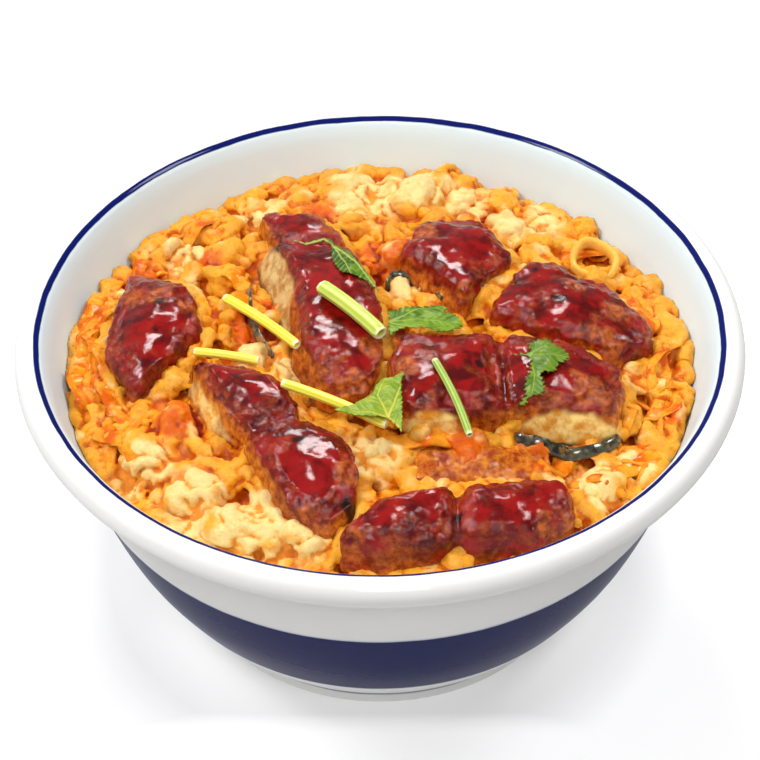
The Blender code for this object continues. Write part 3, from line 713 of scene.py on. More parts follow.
def make_sauce(finish):
    """A smooth pool that shows in the deepest hollows of the egg."""
    deselect()
    bpy.ops.mesh.primitive_grid_add(x_subdivisions=90, y_subdivisions=90, size=2 * (DOME_RADIUS - 1) * MM)
    pool = bpy.context.object
    pool.name = "sauce_pool"
    bpy.ops.object.mode_set(mode="EDIT")
    bpy.ops.mesh.select_mode(type="VERT")
    bpy.ops.mesh.select_all(action="DESELECT")
    bpy.ops.object.mode_set(mode="OBJECT")
    for vert in pool.data.vertices:
        vert.select = vert.co.xy.length > (DOME_RADIUS - 1.2) * MM
    bpy.ops.object.mode_set(mode="EDIT")
    bpy.ops.mesh.delete(type="VERT")
    bpy.ops.object.mode_set(mode="OBJECT")
    points = get_points(pool)
    deep = step(near_spots(points, SAUCE_SPOTS), 0.1, 0.7)
    reach = np.hypot(points[:, 0], points[:, 1])
    edge = step(reach, DOME_RADIUS - 4.0, DOME_RADIUS - 1.2)
    waves = noise_at(points, 14.0, 2.0) * 0.6
    points[:, 2] = dome_height(points[:, 0], points[:, 1]) - 1.6 + deep * 1.2 + waves
    points[:, 2] += edge * SAUCE_EDGE_RISE
    points[:, :2] *= (1 + edge * (SAUCE_REACH / np.maximum(reach, 1.0) - 1))[:, None]
    set_points(pool, keep_inside_bowl(points, 0.35))
    apply_modifier(pool, "SOLIDIFY", thickness=0.8 * MM, offset=-1)
    bpy.ops.object.shade_smooth()
    return dress(pool, None, finish)


# Onion: ribbons lying on the egg. Each zone is its middle, its reach, how many, and their main heading
ONION_ZONES = [
    ((-68.5, 2.0), (3.5, 15.0), 20, 92.0), ((-61.0, 26.0), (4.0, 7.0), 4, 60.0),
    ((-63.0, -20.0), (5.0, 9.0), 10, 112.0), ((65.0, -14.0), (4.0, 13.0), 14, 75.0),
    ((59.0, -30.0), (4.0, 7.0), 6, 50.0), ((62.0, 16.0), (4.0, 12.0), 6, 110.0),
    ((50.0, 44.0), (6.0, 5.0), 4, 140.0), ((-40.0, 48.0), (10.0, 5.0), 5, 30.0),
    ((20.0, -38.0), (13.0, 2.5), 9, 8.0), ((42.0, -40.0), (8.0, 3.0), 5, 15.0),
    ((-34.0, 8.0), (5.0, 14.0), 4, 110.0), ((20.0, -47.0), (12.0, 2.5), 5, 5.0),
]
RIBBON_SIDES, RIBBON_STATIONS = 10, 22
ONION_RING = ((53.1, 31.6), (5.3, 7.0), 0.8)   # its middle, its reach each way, and its lift over the egg


def ribbon_blank():
    """One straight ribbon, a metre long, wide and thick, to be bent along a path."""
    deselect()
    bpy.ops.mesh.primitive_cylinder_add(vertices=RIBBON_SIDES, radius=0.5, depth=1.0, end_fill_type="TRIFAN",
                                        rotation=(0, math.pi / 2, 0), location=(0.5, 0, 0))
    blank = bpy.context.object
    settle(blank)
    bpy.ops.object.mode_set(mode="EDIT")
    for place in range(1, RIBBON_STATIONS):
        bpy.ops.mesh.select_all(action="SELECT")
        bpy.ops.mesh.bisect(plane_co=(place / RIBBON_STATIONS, 0, 0), plane_no=(1, 0, 0))
    bpy.ops.object.mode_set(mode="OBJECT")
    return blank


def bent_copy(blank, path, width, thickness, tilt, clear=0.0):
    """A copy of the blank laid along a path of points in millimetres."""
    made = blank.copy()
    made.data = blank.data.copy()
    bpy.context.scene.collection.objects.link(made)
    spots = np.empty(len(made.data.vertices) * 3)
    made.data.vertices.foreach_get("co", spots)
    spots = spots.reshape(-1, 3)
    line = np.array([tuple(p) for p in smooth_through(path, 6)])
    along = np.linspace(0, 1, len(line))
    run = np.gradient(line, axis=0)
    run /= np.linalg.norm(run, axis=1)[:, None]
    side = np.cross(np.array([0.0, 0.0, 1.0]), run)
    side /= np.linalg.norm(side, axis=1)[:, None]
    rise = np.cross(run, side)
    taper = 0.35 + 0.65 * np.sqrt(np.clip(1 - (2 * spots[:, 0] - 1) ** 4, 0, 1))
    roll = tilt[0] + (tilt[1] - tilt[0]) * spots[:, 0]
    across = spots[:, 1] * width * taper
    up = spots[:, 2] * thickness * taper
    out = across * np.cos(roll) - up * np.sin(roll)
    high = across * np.sin(roll) + up * np.cos(roll)
    laid = np.empty_like(spots)
    for axis in range(3):
        laid[:, axis] = (np.interp(spots[:, 0], along, line[:, axis])
                         + out * np.interp(spots[:, 0], along, side[:, axis])
                         + high * np.interp(spots[:, 0], along, rise[:, axis]))
    set_points(made, laid)
    set_mask(made, "streak", 0.5 + 0.5 * np.cos(spots[:, 1] * 20.0 + 3.0 * np.sin(spots[:, 0] * 5.0)))
    set_mask(made, "clear", np.full(len(spots), clear))
    return made


def make_onion(surface, eel_surface, finish):
    """Ribbons scattered over each zone of the egg, none on the eel, and the one loose ring."""
    draw = random.Random(SEED + 1)
    blank = ribbon_blank()
    ribbons = []
    for (cx, cy), (rx, ry), count, heading in ONION_ZONES:
        for _ in range(count):
            x = cx + draw.uniform(-1, 1) * rx
            y = cy + draw.uniform(-1, 1) * ry
            way = math.radians(heading + draw.gauss(0, 22))
            length = draw.uniform(9.0, 22.0)
            curl = draw.uniform(-0.11, 0.11)
            width = draw.choice([1.4, 2.4, 3.4, 4.4, 5.4]) * draw.uniform(0.85, 1.15)
            thickness = 0.6 + 0.08 * width
            lift = thickness * draw.uniform(-0.2, 0.5)
            tilt = (draw.uniform(-0.45, 0.45), draw.uniform(-0.45, 0.45))
            path, heights = [], []
            x -= 0.5 * length * math.cos(way)
            y -= 0.5 * length * math.sin(way)
            stations = 8
            for k in range(stations):
                reach = math.hypot(x, y)
                if reach > DOME_RADIUS - 2.2:
                    x, y = x * (DOME_RADIUS - 2.2) / reach, y * (DOME_RADIUS - 2.2) / reach
                path.append((x, y))
                heights.append(height_on(surface, x, y, dome_height(x, y)))
                x += length / stations * math.cos(way)
                y += length / stations * math.sin(way)
                way += curl * length / stations
            if any(height_on(eel_surface, px, py, 0.0) > 0 for px, py in path[1:-1]):
                continue
            level = np.convolve(np.pad(heights, 1, mode="edge"), np.ones(3) / 3, mode="valid")
            line = []
            for k, ((px, py), pz) in enumerate(zip(path, level)):
                dip = 1.6 if k in (0, stations - 1) else 0.0
                line.append((px, py, pz + lift - dip))
            ribbons.append(bent_copy(blank, line, width, thickness, tilt))
    (cx, cy), (rx, ry), over = ONION_RING
    ring = []
    for k in range(14):
        angle = 2 * math.pi * k / 13 - 1.2
        x = cx + (rx + 0.5 * math.sin(2 * angle)) * math.cos(angle)
        y = cy + ry * math.sin(angle)
        rise = over * (1 + math.sin(angle)) + 0.3 * math.cos(3 * angle)
        ring.append((x, y, dome_height(x, y) + 3.0 + rise))
    ribbons.append(bent_copy(blank, ring, 2.0, 3.4, (0.1, 0.1), 0.75))
    bpy.data.objects.remove(blank, do_unlink=True)
    onion = joined("onion_ribbons", ribbons)
    select_only(onion)
    bpy.ops.object.shade_smooth()
    points = get_points(onion)
    points += get_normals(onion) * (noise_at(points, 2.0, 91.0) * 0.4)[:, None]
    set_points(onion, keep_inside_bowl(points, 0.3))
    return dress(onion, None, finish)


# Eel

# Each piece of eel: the solids it covers, and for each cut face which way it faces (degrees from +X),
# how high its flesh shows over the egg, how much dark skin shows under it, and down to where its glaze runs
EEL_PIECES = {
    "eel_piece_left": (["eel_left"], None, 0.0, 0.0, 3.5),
    "eel_piece_center": (["eel_center", "eel_center_back"], 192, 10.0, 0.6, 9.0),
    "eel_piece_front_left": (["eel_front_left_upper", "eel_front_left_lower"], 216, 7.6, 0.0, 8.0),
    "eel_piece_back_right": (["eel_back_right"], 228, 0.0, 1.0, 6.0),
    "eel_piece_right": (["eel_right"], None, 0.0, 0.0, 5.0),
    "eel_piece_middle": (["eel_middle", "eel_middle_right"], 267, 9.8, 1.0, 8.5),
    "eel_piece_front": (["eel_front", "eel_front_right"], 262, 1.8, 0.0, 2.4),
    "eel_piece_sunk": (["eel_sunk"], None, 0.0, 0.0, 3.0),
}
SUNK_PIECE = "eel_piece_sunk"
LONG_PIECE = "eel_piece_front_left"
LONG_JOIN = 1.3            # this one is swollen and shrunk so much more, which fills its notches
# Where its pale flesh shows in a cut face: middle and reach
FLESH_SPOTS = [((-29.0, 15.0), 21.0), ((-40.0, -24.0), 13.0), ((43.5, -33.0), 14.0), ((12.0, -33.0), 9.0),
               ((-6.0, -68.0), 11.0)]
GOLDEN_SPOTS = [((43.5, -33.0), 18.0), ((12.0, -33.0), 14.0), ((-6.0, -68.0), 14.0), ((-40.0, -24.0), 8.0)]
CUT_FACE_TOP = 10.0        # a cut face leans out from this height over the egg down
CUT_FACE_SLANT = 3.2       # by this much at its foot
JOIN_SWELL = 0.85          # how far neighbours are swollen so that they join, and how far they shrink back
JOIN_SHRINK = 0.45
# Places on the eel that are roasted brown, and that are charred: middle and reach
BROWN_SPOTS = [
    ((51.0, -5.0), 8.0), ((60.0, -12.0), 6.5), ((56.0, 4.0), 5.5), ((46.0, 11.0), 4.5),
    ((13.0, -38.0), 5.0), ((5.0, -22.0), 4.5), ((48.0, -25.0), 7.0), ((51.0, -32.0), 6.0),
    ((37.0, -29.0), 4.5), ((-7.0, -67.0), 5.0), ((2.0, -70.0), 6.0), ((36.0, -62.0), 4.5),
    ((42.0, -60.0), 6.0), ((-58.0, 10.0), 5.0), ((-46.0, 6.0), 4.5), ((-59.0, -20.0), 4.5),
    ((-52.0, 9.0), 4.5), ((-28.0, 33.0), 4.0), ((-12.0, 34.0), 6.0), ((-13.0, -22.0), 5.5),
    ((-6.0, -25.0), 5.5), ((-2.0, -14.0), 4.0), ((12.0, 30.0), 4.0), ((5.0, 19.0), 5.0),
    ((30.0, 15.0), 4.0), ((20.0, 8.0), 4.0), ((-41.0, -20.0), 4.0), ((-12.0, -63.0), 4.0),
    ((-18.0, -60.0), 4.5), ((-7.0, -50.0), 4.5),
]
CHAR_SPOTS = [((42.0, 5.0), 2.6), ((-25.0, 25.0), 2.2), ((-52.0, 6.0), 2.2), ((-41.0, 4.0), 2.0),
              ((-7.0, 17.0), 2.0), ((-7.0, -57.0), 3.2), ((-18.0, -41.0), 2.0), ((22.0, -20.0), 2.0),
              ((-52.0, -3.0), 1.6), ((37.0, 17.0), 1.4), ((16.4, -60.0), 2.0)]


def join_copies(nodes, name):
    """One skin over neighbouring solids, with a shallow groove where they meet."""
    parts = [copy_of_node(node, name + "_part") for node in nodes]
    piece = joined(name, parts) if len(parts) > 1 else parts[0]
    piece.name = name
    extra = LONG_JOIN if name == LONG_PIECE else 0.0
    if len(parts) > 1:
        set_points(piece, get_points(piece) + get_normals(piece) * (JOIN_SWELL + extra))
    apply_modifier(piece, "REMESH", mode="VOXEL", voxel_size=EEL_VOXEL * MM)
    apply_modifier(piece, "SMOOTH", factor=0.5, iterations=12)
    if len(parts) > 1:
        set_points(piece, get_points(piece) - get_normals(piece) * (JOIN_SHRINK + extra))
    return piece


def make_eel(name, nodes, heading, flesh_top, bare_skin, glaze_low, finish):
    """One piece of eel: its skin puffed and flaked, with masks for glaze, roast, flesh and char."""
    piece = join_copies(nodes, name)
    points = get_points(piece)
    normals = get_normals(piece)
    over = points[:, 2] - dome_height(points[:, 0], points[:, 1])
    top = step(normals[:, 2], 0.3, 0.8)
    side = 1 - step(np.abs(normals[:, 2]), 0.45, 0.85)
    facing = np.zeros(len(points))
    if heading is not None:
        way = math.radians(heading)
        facing = step(normals[:, 0] * math.cos(way) + normals[:, 1] * math.sin(way), 0.15, 0.45)
        lean = CUT_FACE_SLANT * step(near_spots(points, FLESH_SPOTS), 0.0, 0.5)
        slant = facing * side * np.clip(1 - over / CUT_FACE_TOP, 0, 1) * lean
        points = points + np.outer(slant, [math.cos(way), math.sin(way), 0])
    ragged = noise_at(points, 2.4, 5.0)
    roast = step(near_spots(points, BROWN_SPOTS) + noise_at(points, 5.0, 61.0) * 0.45, 0.05, 0.6)
    rounded = 1 - step(normals[:, 2], 0.82, 0.98)
    crisp = np.clip(step(noise_at(points, 9.0, 13.0) + 0.8 * rounded, 0.0, 0.6) * 0.7 + roast, 0, 1)
    waves = noise_at(points, 10.0, 1.0) * 0.9 + noise_at(points, 5.0, 8.0) * 0.35
    blister = (1 - np.abs(noise_at(points, 3.0, 6.0)) * 2.0) * 0.8 + noise_at(points, 1.5, 9.0) * 0.4
    flakes = domes(warped(points, 4.0, 1.5), 2.6, 4.0) * 0.8
    wobble = noise_at(points, 6.5, 71.0) * 1.0
    points = points + normals * (top * (waves + blister * (0.08 + 0.6 * crisp) - 0.3)
                                 + side * (flakes * (1 - 0.7 * facing) - 0.4 + wobble))[:, None]
    points[:, 2] = np.minimum(points[:, 2], CAD_TOP)
    set_points(piece, points)
    select_only(piece)
    bpy.ops.object.shade_smooth()
    wall = 1 - step(normals[:, 2], 0.35, 0.75)
    dry = 1 - step(over + ragged * 1.6, glaze_low - 1.0, glaze_low + 1.6)
    open_here = np.sqrt(np.clip(near_spots(points, FLESH_SPOTS) * 1.6, 0, 1))
    flesh = facing * wall * step(over + ragged * 1.2, 1.6, 2.8) * step(open_here, 0.1, 0.4)
    flesh *= 1 - step(over + ragged * 1.0, flesh_top * open_here - 1.2, flesh_top * open_here + 0.4)
    set_mask(piece, "flesh", flesh)
    set_mask(piece, "golden", step(near_spots(points, GOLDEN_SPOTS), 0.1, 0.5))
    low = 1 - step(over + ragged * 1.2, 2.0, 3.2)
    set_mask(piece, "skin", low * bare_skin * np.maximum(facing, 0.25))
    rim = step(wall + ragged * 0.35, 0.1, 0.8) * dry
    speckle = step(noise_at(points, 2.6, 31.0) + roast * 0.5, -0.2, 0.5)
    set_mask(piece, "edge", np.maximum(rim, np.maximum(crisp * 0.35, roast * 0.9) * speckle))
    set_mask(piece, "crisp", np.maximum(crisp, side * (0.2 + 0.8 * dry)))
    rust = step(wall + noise_at(points, 5.0, 41.0) * 0.6, 0.45, 1.0)
    rust = rust * step(noise_at(points, 8.0, 51.0), -0.35, 0.2) * dry
    set_mask(piece, "rust", step(ragged, -0.9, -0.1) if name == SUNK_PIECE else rust * (1 - flesh))
    char = near_spots(points, CHAR_SPOTS) + noise_at(points, 2.2, 81.0) * 0.5
    set_mask(piece, "char", step(char, 0.25, 0.6))
    dress(piece, None, finish)
    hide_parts(*nodes)
    return piece


# Dark, wet skin that shows beside three cut faces: its path in plan, and its width
SKIN_STRIPS = [
    ([(1.8, 18.0), (3.4, 20.4), (6.6, 20.4), (10.4, 18.0), (13.2, 13.9), (15.6, 9.4)], 2.6),
    ([(-30.6, 20.0), (-31.4, 12.6), (-30.2, 5.0), (-27.9, -1.6), (-25.0, -7.2)], 2.4),
    ([(29.6, -33.6), (33.6, -35.4), (39.7, -36.2), (45.3, -35.8), (50.2, -34.2), (54.6, -30.6)], 3.2),
]
SKIN_LIFT = 0.4            # how far a strip's middle line is over the egg
SKIN_DIP = 1.4             # and how far its ends go down again


def make_skin(surface, finish):
    """Thin strips that lie on the egg along the foot of the cut faces."""
    blank = ribbon_blank()
    strips = []
    for path, width in SKIN_STRIPS:
        stations = smooth_through([(x, y, 0) for x, y in path], 4)
        heights = np.array([height_on(surface, p.x, p.y, dome_height(p.x, p.y)) for p in stations])
        padded = np.pad(heights, 1, mode="edge")
        highest = np.maximum(np.maximum(padded[:-2], padded[1:-1]), padded[2:])
        level = np.convolve(np.pad(highest, 2, mode="edge"), np.ones(5) / 5, mode="valid") + SKIN_LIFT
        level[[0, -1]] -= SKIN_DIP
        line = [(p.x, p.y, height) for p, height in zip(stations, level)]
        strips.append(bent_copy(blank, line, width, 0.7, (0.9, 0.7)))
    bpy.data.objects.remove(blank, do_unlink=True)
    skin = joined("eel_skin", strips)
    select_only(skin)
    bpy.ops.object.shade_smooth()
    points = get_points(skin)
    set_points(skin, points + get_normals(skin) * (noise_at(points, 2.0, 93.0) * 0.4)[:, None])
    return dress(skin, None, finish)


# Herbs

# Each stem: its two ends in plan, its radius, and its light and dark colours
STEMS = {
    "stem_thick": ((-13.4, 2.8), (0.4, -13.2), 1.9, (220, 226, 112), (182, 204, 72)),
    "stem_upper": ((-36.2, 6.0), (-18.8, -12.4), 1.25, (252, 240, 92), (244, 222, 50)),
    "stem_left": ((-42.6, -10.2), (-27.6, -14.4), 1.1, (252, 240, 104), (242, 224, 66)),
    "stem_lower": ((-21.8, -25.2), (1.4, -37.4), 1.2, (246, 232, 84), (222, 212, 56)),
    "stem_green": ((12.3, -21.0), (19.4, -43.6), 0.9, (186, 206, 104), (136, 172, 60)),
}
# Each leaf: its outline in plan, and its veins from the root outward
LEAVES = {
    "leaf_right": ([(33.2, -13.4), (35.2, -12.1), (39.0, -12.3), (40.2, -14.0), (42.0, -15.1), (43.4, -17.9),
                    (42.8, -19.7), (40.4, -20.8), (40.0, -23.0), (37.7, -24.2), (36.4, -23.6), (37.0, -26.8),
                    (37.1, -29.3), (36.0, -31.1), (33.4, -31.7), (32.6, -33.8), (30.9, -34.6), (30.1, -33.4),
                    (31.9, -30.6), (31.6, -28.8), (32.4, -25.2), (33.4, -21.9), (33.6, -18.4), (29.0, -18.0),
                    (28.7, -17.2), (33.6, -16.3)],
                   [[(29.0, -17.6), (33.8, -17.2), (43.0, -18.4)], [(33.8, -17.2), (38.6, -13.6)],
                    [(33.8, -17.2), (34.6, -24.0), (33.6, -31.0)]], 0.9),
    "leaf_middle": ([(1.3, -1.7), (5.2, -0.4), (9.9, -0.2), (13.6, 0.5), (16.7, -0.6), (15.7, -2.4),
                     (18.2, -3.4), (19.3, -5.4), (19.7, -8.3), (16.1, -10.2), (13.2, -10.5), (11.4, -9.6),
                     (8.6, -8.4), (6.0, -8.7), (4.0, -9.6), (2.5, -11.8), (1.5, -9.2), (1.7, -4.1)],
                    [[(1.6, -5.8), (9.0, -4.8), (19.2, -6.6)], [(2.2, -5.6), (9.0, -1.6), (15.6, -1.0)],
                     [(2.0, -6.2), (8.0, -7.8), (13.0, -10.0)]], 0.8),
    "leaf_front": ([(-11.2, -35.0), (-5.9, -33.1), (-2.3, -30.5), (-1.2, -27.2), (0.4, -24.7), (3.4, -23.9),
                    (6.3, -22.6), (5.0, -25.5), (5.0, -29.7), (5.2, -32.8), (5.0, -42.4), (4.2, -41.6),
                    (2.4, -38.9), (0.5, -37.3), (-1.2, -38.0), (-6.0, -37.1)],
                   [[(4.8, -42.0), (1.7, -37.2), (-7.4, -35.2)], [(1.7, -37.2), (-0.6, -30.6), (0.9, -25.4)],
                    [(1.7, -37.2), (4.0, -30.0), (5.4, -24.0)]], 0.35),
    "leaf_back": ([(-20.4, 24.4), (-17.6, 23.0), (-13.1, 24.8), (-10.9, 23.4), (-10.5, 22.0), (-9.2, 21.2),
                   (-6.7, 18.1), (-3.5, 13.0), (-0.9, 7.2), (0.8, 3.0), (-1.8, 6.0), (-3.2, 8.0), (-5.0, 8.7),
                   (-8.9, 9.4), (-10.3, 12.6), (-11.6, 16.9), (-11.5, 20.4), (-12.0, 22.4), (-13.6, 23.4),
                   (-17.4, 21.9), (-20.6, 23.6)],
                  [[(-20.4, 24.0), (-17.5, 22.4), (-13.2, 24.1), (-11.2, 21.6), (-8.4, 15.0), (-6.8, 9.4)],
                   [(-10.6, 21.0), (-5.0, 13.6), (0.4, 3.4)]], 0.3),
}
STEM_SIDES, STEM_STATIONS, STEM_RIBS = 36, 24, 7
LEAF_GRID = 0.22           # the size of a leaf's cells
LEAF_LEVEL = 84.0          # the outlines above are measured at this height
# Light, dark and vein colours
LEAF_COLOURS = {
    "leaf_right": ((108, 138, 34), (70, 104, 18), (140, 168, 70)),
    "leaf_middle": ((118, 150, 32), (66, 104, 12), (154, 178, 72)),
    "leaf_front": ((146, 166, 46), (108, 142, 28), (204, 200, 80)),
    "leaf_back": ((100, 140, 32), (44, 80, 12), (186, 196, 96)),
}


def stem_axis(node, start, end):
    """The stem's two ends, with their heights taken from its solid."""
    points = get_points(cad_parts[node])
    a, b = np.array(start), np.array(end)
    share = ((points[:, :2] - a) @ (b - a)) / ((b - a) @ (b - a))
    first, last = points[share < 0.25, 2], points[share > 0.75, 2]
    heights = [(part.max() + part.min()) / 2 for part in (first, last)]
    return Vector((*start, heights[0])), Vector((*end, heights[1]))


def make_stem(node, start, end, radius, finish):
    """A ribbed stem with a clean cut at each end."""
    first, last = stem_axis(node, start, end)
    run = last - first
    deselect()
    bpy.ops.mesh.primitive_cylinder_add(vertices=STEM_SIDES, radius=radius * MM, depth=run.length * MM,
                                        end_fill_type="NGON")
    stem = bpy.context.object
    stem.name = "cut_" + node
    bpy.ops.object.mode_set(mode="EDIT")
    for place in range(1, STEM_STATIONS):
        bpy.ops.mesh.select_all(action="SELECT")
        height = (place / STEM_STATIONS - 0.5) * run.length * MM
        bpy.ops.mesh.bisect(plane_co=(0, 0, height), plane_no=(0, 0, 1))
    bpy.ops.mesh.select_mode(type="FACE")
    bpy.ops.mesh.select_all(action="DESELECT")
    bpy.ops.object.mode_set(mode="OBJECT")
    for face in stem.data.polygons:
        face.select = abs(face.normal.z) > 0.9
    bpy.ops.object.mode_set(mode="EDIT")
    bpy.ops.mesh.inset(thickness=0.22 * radius * MM, use_individual=True)
    bpy.ops.mesh.inset(thickness=0.25 * radius * MM, depth=-0.16 * radius * MM, use_individual=True)
    bpy.ops.object.mode_set(mode="OBJECT")
    points = get_points(stem)
    turn = np.arctan2(points[:, 1], points[:, 0])
    share = points[:, 2] / run.length + 0.5
    ribs = 1 + 0.045 * np.cos(STEM_RIBS * turn + 1.0) + 0.02 * np.cos(13 * turn)
    close = 1 - 0.16 * step(np.abs(share - 0.5), 0.46, 0.5)
    points[:, 0] *= ribs * close
    points[:, 1] *= ribs * close * 0.86
    ends = step(np.abs(share - 0.5), 0.497, 0.4995) * (np.hypot(points[:, 0], points[:, 1]) < radius * 0.84)
    level = run.normalized()
    out = Vector((-level.y, level.x, 0)).normalized()
    rise = level.cross(out)
    bend = np.sin(share * math.pi) * 0.025 * run.length
    laid = (np.outer(share * run.length, level) + np.outer(points[:, 0] + bend, out)
            + np.outer(points[:, 1], -rise) + np.array(first))
    laid[:, 2] = np.minimum(laid[:, 2], CAD_TOP)
    set_points(stem, laid)
    bpy.ops.object.shade_smooth_by_angle(angle=math.radians(50))
    set_mask(stem, "cut_end", ends)
    set_mask(stem, "groove", 0.5 + 0.5 * np.cos(STEM_RIBS * turn + 1.0))
    return dress(stem, node, finish)


def along_edge(points, start, end):
    """How far along a straight edge each point lies, 0 to 1, and how far from it."""
    (ax, ay), (bx, by) = start, end
    run = (points[:, 0] - ax) * (bx - ax) + (points[:, 1] - ay) * (by - ay)
    share = np.clip(run / math.hypot(bx - ax, by - ay) ** 2, 0, 1)
    away = np.hypot(points[:, 0] - ax - share * (bx - ax), points[:, 1] - ay - share * (by - ay))
    return share, away


def outline_distance(points, outline):
    """How far inside an outline each point is (less than 0 outside), and where round it that is."""
    inside = np.zeros(len(points), dtype=bool)
    best = np.full(len(points), 1e9)
    place = np.zeros(len(points))
    gone = 0.0
    for (ax, ay), (bx, by) in zip(outline, outline[1:] + outline[:1]):
        long = math.hypot(bx - ax, by - ay)
        share, away = along_edge(points, (ax, ay), (bx, by))
        closer = away < best
        best = np.where(closer, away, best)
        place = np.where(closer, gone + share * long, place)
        crosses = (ay > points[:, 1]) != (by > points[:, 1])
        if by != ay:
            reach = ax + (points[:, 1] - ay) * (bx - ax) / (by - ay)
            inside ^= crosses & (points[:, 0] < reach)
        gone += long
    return np.where(inside, best, -best), place


def vein_masks(points, veins):
    """1 on the main veins, and 1 on the fine side veins that branch off them."""
    main = np.zeros(len(points))
    best = np.full(len(points), 1e9)
    fine = np.zeros(len(points))
    for vein in veins:
        gone = 0.0
        total = sum((Vector(b) - Vector(a)).length for a, b in zip(vein, vein[1:]))
        for (ax, ay), (bx, by) in zip(vein, vein[1:]):
            long = math.hypot(bx - ax, by - ay)
            share, away = along_edge(points, (ax, ay), (bx, by))
            width = 0.34 * (1 - 0.7 * (gone + share * long) / total)
            main = np.maximum(main, 1 - step(away / width, 0.5, 1.5))
            branch = (gone + share * long - away * 0.9) / 1.7
            stripe = 1 - step(np.abs(branch - np.round(branch)) * 1.7, 0.08, 0.26)
            fine = np.where(away < best, stripe, fine)
            best = np.minimum(best, away)
            gone += long
    return main, fine


def make_leaf(node, outline, veins, tooth, surface, finish):
    """A thin toothed leaf near its solid's height and clear of the food, with its veins sunk a little."""
    xs, ys = [x for x, _ in outline], [y for _, y in outline]
    spans = (max(xs) - min(xs) + 1.2, max(ys) - min(ys) + 1.2)
    middle = ((max(xs) + min(xs)) / 2, (max(ys) + min(ys)) / 2)
    deselect()
    cells = [int(span / LEAF_GRID) for span in spans]
    bpy.ops.mesh.primitive_grid_add(x_subdivisions=cells[0], y_subdivisions=cells[1], size=MM,
                                    location=(middle[0] * MM, middle[1] * MM, 0))
    leaf = bpy.context.object
    leaf.name = "fresh_" + node
    leaf.scale = (spans[0], spans[1], 1)
    settle(leaf)
    points = get_points(leaf)
    deep, place = outline_distance(points, outline)
    notch = place / 1.5
    keep = deep > tooth * np.abs(notch - np.floor(notch)) ** 1.4 * 0.9
    bpy.ops.object.mode_set(mode="EDIT")
    bpy.ops.mesh.select_mode(type="VERT")
    bpy.ops.mesh.select_all(action="DESELECT")
    bpy.ops.object.mode_set(mode="OBJECT")
    leaf.data.vertices.foreach_set("select", ~keep)
    bpy.ops.object.mode_set(mode="EDIT")
    bpy.ops.mesh.delete(type="VERT")
    bpy.ops.object.mode_set(mode="OBJECT")
    apply_modifier(leaf, "SMOOTH", factor=0.5, iterations=2)
    points = get_points(leaf)
    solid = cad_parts[node]
    under = surface_of(solid)
    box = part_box(node)
    half_height = (box[0].z + box[1].z) / 2 / MM
    heights = []
    for x, y, _ in points:
        spot = under.find_nearest(Vector((x, y, half_height)))[0]
        height = LEAF_LEVEL + (height_on(under, x, y, spot.z + 0.25) - LEAF_LEVEL) * 0.2
        heights.append(max(height, height_on(surface, x, y, 0.0) + 0.3))
    points[:, 2] = heights
    for _ in range(2):
        points[:, 2] = averaged(leaf, points, 8)[:, 2]
    main, fine = vein_masks(points, veins)
    deep, _ = outline_distance(points, outline)
    points[:, 2] += 0.35 + noise_at(points, 4.0, 3.0) * 0.55 - main * 0.25 - fine * 0.1
    points[:, 2] = np.minimum(points[:, 2], CAD_TOP - 0.2)
    set_points(leaf, points)
    set_mask(leaf, "rib", main)
    set_mask(leaf, "branch", fine)
    apply_modifier(leaf, "SOLIDIFY", thickness=0.25 * MM, offset=0)
    bpy.ops.object.shade_smooth()
    return dress(leaf, node, finish)


# Stage, light and camera

def make_stage():
    """A white floor: lit for the camera, with a painted shadow where its glow is turned down beside and under
    the bowl, and darker for the light that it throws back.
    """
    deselect()
    bpy.ops.mesh.primitive_plane_add(size=6.0, location=(0, 1.2, 0))
    floor = bpy.context.object
    floor.name = "floor"
    made = Finish("paper_floor", Roughness=0.9)
    settle(floor)
    far = made.add("ShaderNodeVectorMath", {"operation": "LENGTH"})
    made.tree.links.new(made.object_place, far.inputs[0])
    seen = made.add("ShaderNodeLightPath").outputs["Is Camera Ray"]
    place = made.add("ShaderNodeSeparateXYZ", Vector=made.object_place)
    # Painted shadow: the glow the camera sees falls off towards the bowl and to its left, darkening the floor
    # beyond the bowl's real shadow
    sides = made.math("ADD", made.ramp(far.outputs["Value"], 0.060, 0.085, FLOOR_GLOW_PAINTED_SHADOW, FLOOR_GLOW),
                      made.math("MULTIPLY", place.outputs["X"], 1.2))
    front = made.ramp(place.outputs["Y"], -0.060, -0.045, FLOOR_GLOW, 0.0)
    near = made.math("MINIMUM", made.math("MAXIMUM", sides, front), FLOOR_GLOW)
    glow = made.math("ADD", near, made.ramp(far.outputs["Value"], 0.10, 0.35, 0.0,
                                            FLOOR_GLOW_FAR - FLOOR_GLOW))
    fill = made.ramp(far.outputs["Value"], 0.05, 0.12, FLOOR_FILL, 0.05)
    made.shader.inputs["Emission Color"].default_value = (1, 1, 1, 1)
    made.shader.inputs["Specular IOR Level"].default_value = 0.0
    paper = made.blend(seen, (0.64, 0.64, 0.64), (0.66, 0.66, 0.67))
    shown = made.math("MAXIMUM", made.math("MULTIPLY", glow, seen), fill)
    floor.data.materials.append(made.use(Base_Color=paper, Emission_Strength=shown))


def add_softbox(name, place, aim, size, power):
    bpy.ops.object.light_add(type="AREA", location=place)
    lamp = bpy.context.object
    lamp.name = name
    lamp.data.shape = "RECTANGLE"
    lamp.data.size, lamp.data.size_y = size
    lamp.data.energy = power
    lamp.rotation_euler = (Vector(aim) - Vector(place)).to_track_quat("-Z", "Y").to_euler()


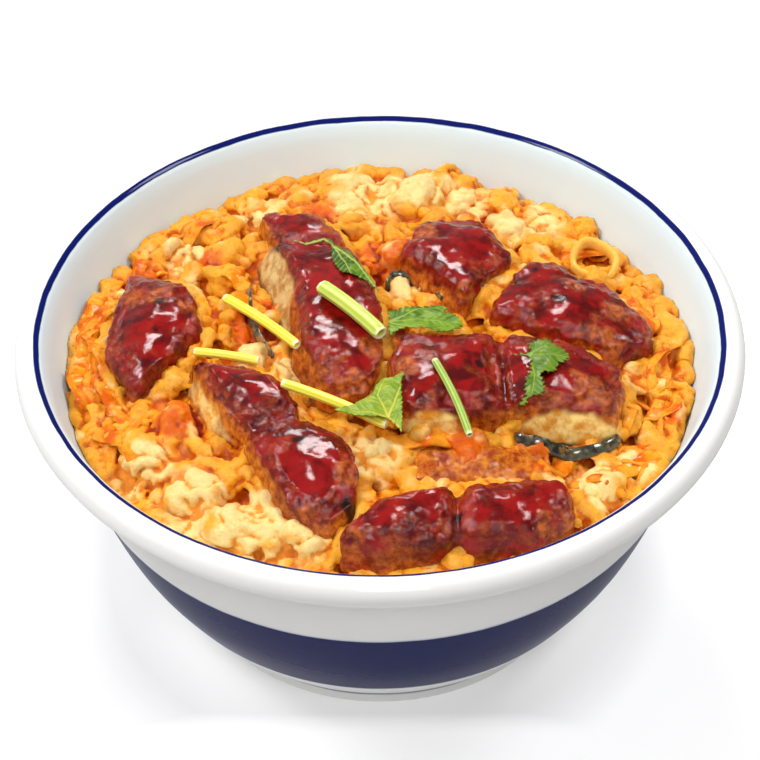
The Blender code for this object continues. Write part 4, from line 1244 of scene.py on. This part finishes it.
def make_light():
    """A pale room, brighter on the left, with a softbox high up on each side of the bowl."""
    world = bpy.context.scene.world or bpy.data.worlds.new("studio")
    bpy.context.scene.world = world
    world.use_nodes = True
    tree = world.node_tree
    background = tree.nodes["Background"]
    background.inputs["Color"].default_value = (1, 1, 1, 1)
    way = tree.nodes.new("ShaderNodeTexCoord").outputs["Generated"]
    parts = tree.nodes.new("ShaderNodeSeparateXYZ")
    tree.links.new(way, parts.inputs["Vector"])
    share = tree.nodes.new("ShaderNodeMapRange")
    tree.links.new(parts.outputs["X"], share.inputs["Value"])
    share.inputs["From Min"].default_value = -1.0
    share.inputs["From Max"].default_value = 1.0
    share.inputs["To Min"].default_value = 0.48
    share.inputs["To Max"].default_value = 0.06
    tree.links.new(share.outputs["Result"], background.inputs["Strength"])
    add_softbox("back_softbox", (-0.06, 0.60, 0.74), (0, 0, 0.08), (0.30, 0.14), 2.8)
    add_softbox("left_softbox", (-0.55, -0.05, 0.85), (0, 0, 0.05), (0.26, 0.26), 4.8)
    add_softbox("front_softbox", (0.05, -0.70, 0.95), (0, 0, 0.05), (0.28, 0.20), 3.3)
    add_softbox("right_softbox", (0.55, 0.10, 0.90), (0, 0, 0.05), (0.26, 0.26), 3.9)


def make_camera():
    """The photograph's own view, from the front and over the rim."""
    rise = math.radians(CAMERA_HEIGHT_ANGLE)
    lens = bpy.data.cameras.new("camera")
    lens.lens = CAMERA_LENS
    lens.sensor_width = 36.0
    camera = bpy.data.objects.new("camera", lens)
    bpy.context.scene.collection.objects.link(camera)
    camera.location = (0, -CAMERA_DISTANCE * math.cos(rise), RIM_PLANE + CAMERA_DISTANCE * math.sin(rise))
    turn = Matrix.Rotation(math.radians(90 - CAMERA_PITCH), 3, "X") @ Matrix.Rotation(
        math.radians(CAMERA_ROLL), 3, "Z")
    camera.rotation_euler = turn.to_euler()
    bpy.context.scene.camera = camera


noise.seed_set(SEED)       # noise_vector takes its offsets from the clock otherwise
make_camera()
make_light()
make_stage()
bpy.context.scene.view_settings.view_transform = "Standard"
make_bowl(porcelain_finish())
egg = make_egg(egg_finish())
make_sauce(sauce_finish())
glazed = eel_finish()
eel = [make_eel(name, *traits, glazed) for name, traits in EEL_PIECES.items()]
make_onion(surface_of(egg), surface_of(*eel), onion_finish())
make_skin(surface_of(egg), skin_finish())
for node, (start, end, radius, light, dark) in STEMS.items():
    make_stem(node, start, end, radius, stem_finish(node, light, dark))
eel_surface = surface_of(*eel)
for node, (outline, veins, tooth) in LEAVES.items():
    make_leaf(node, outline, veins, tooth, eel_surface, leaf_finish(node, *LEAF_COLOURS[node]))
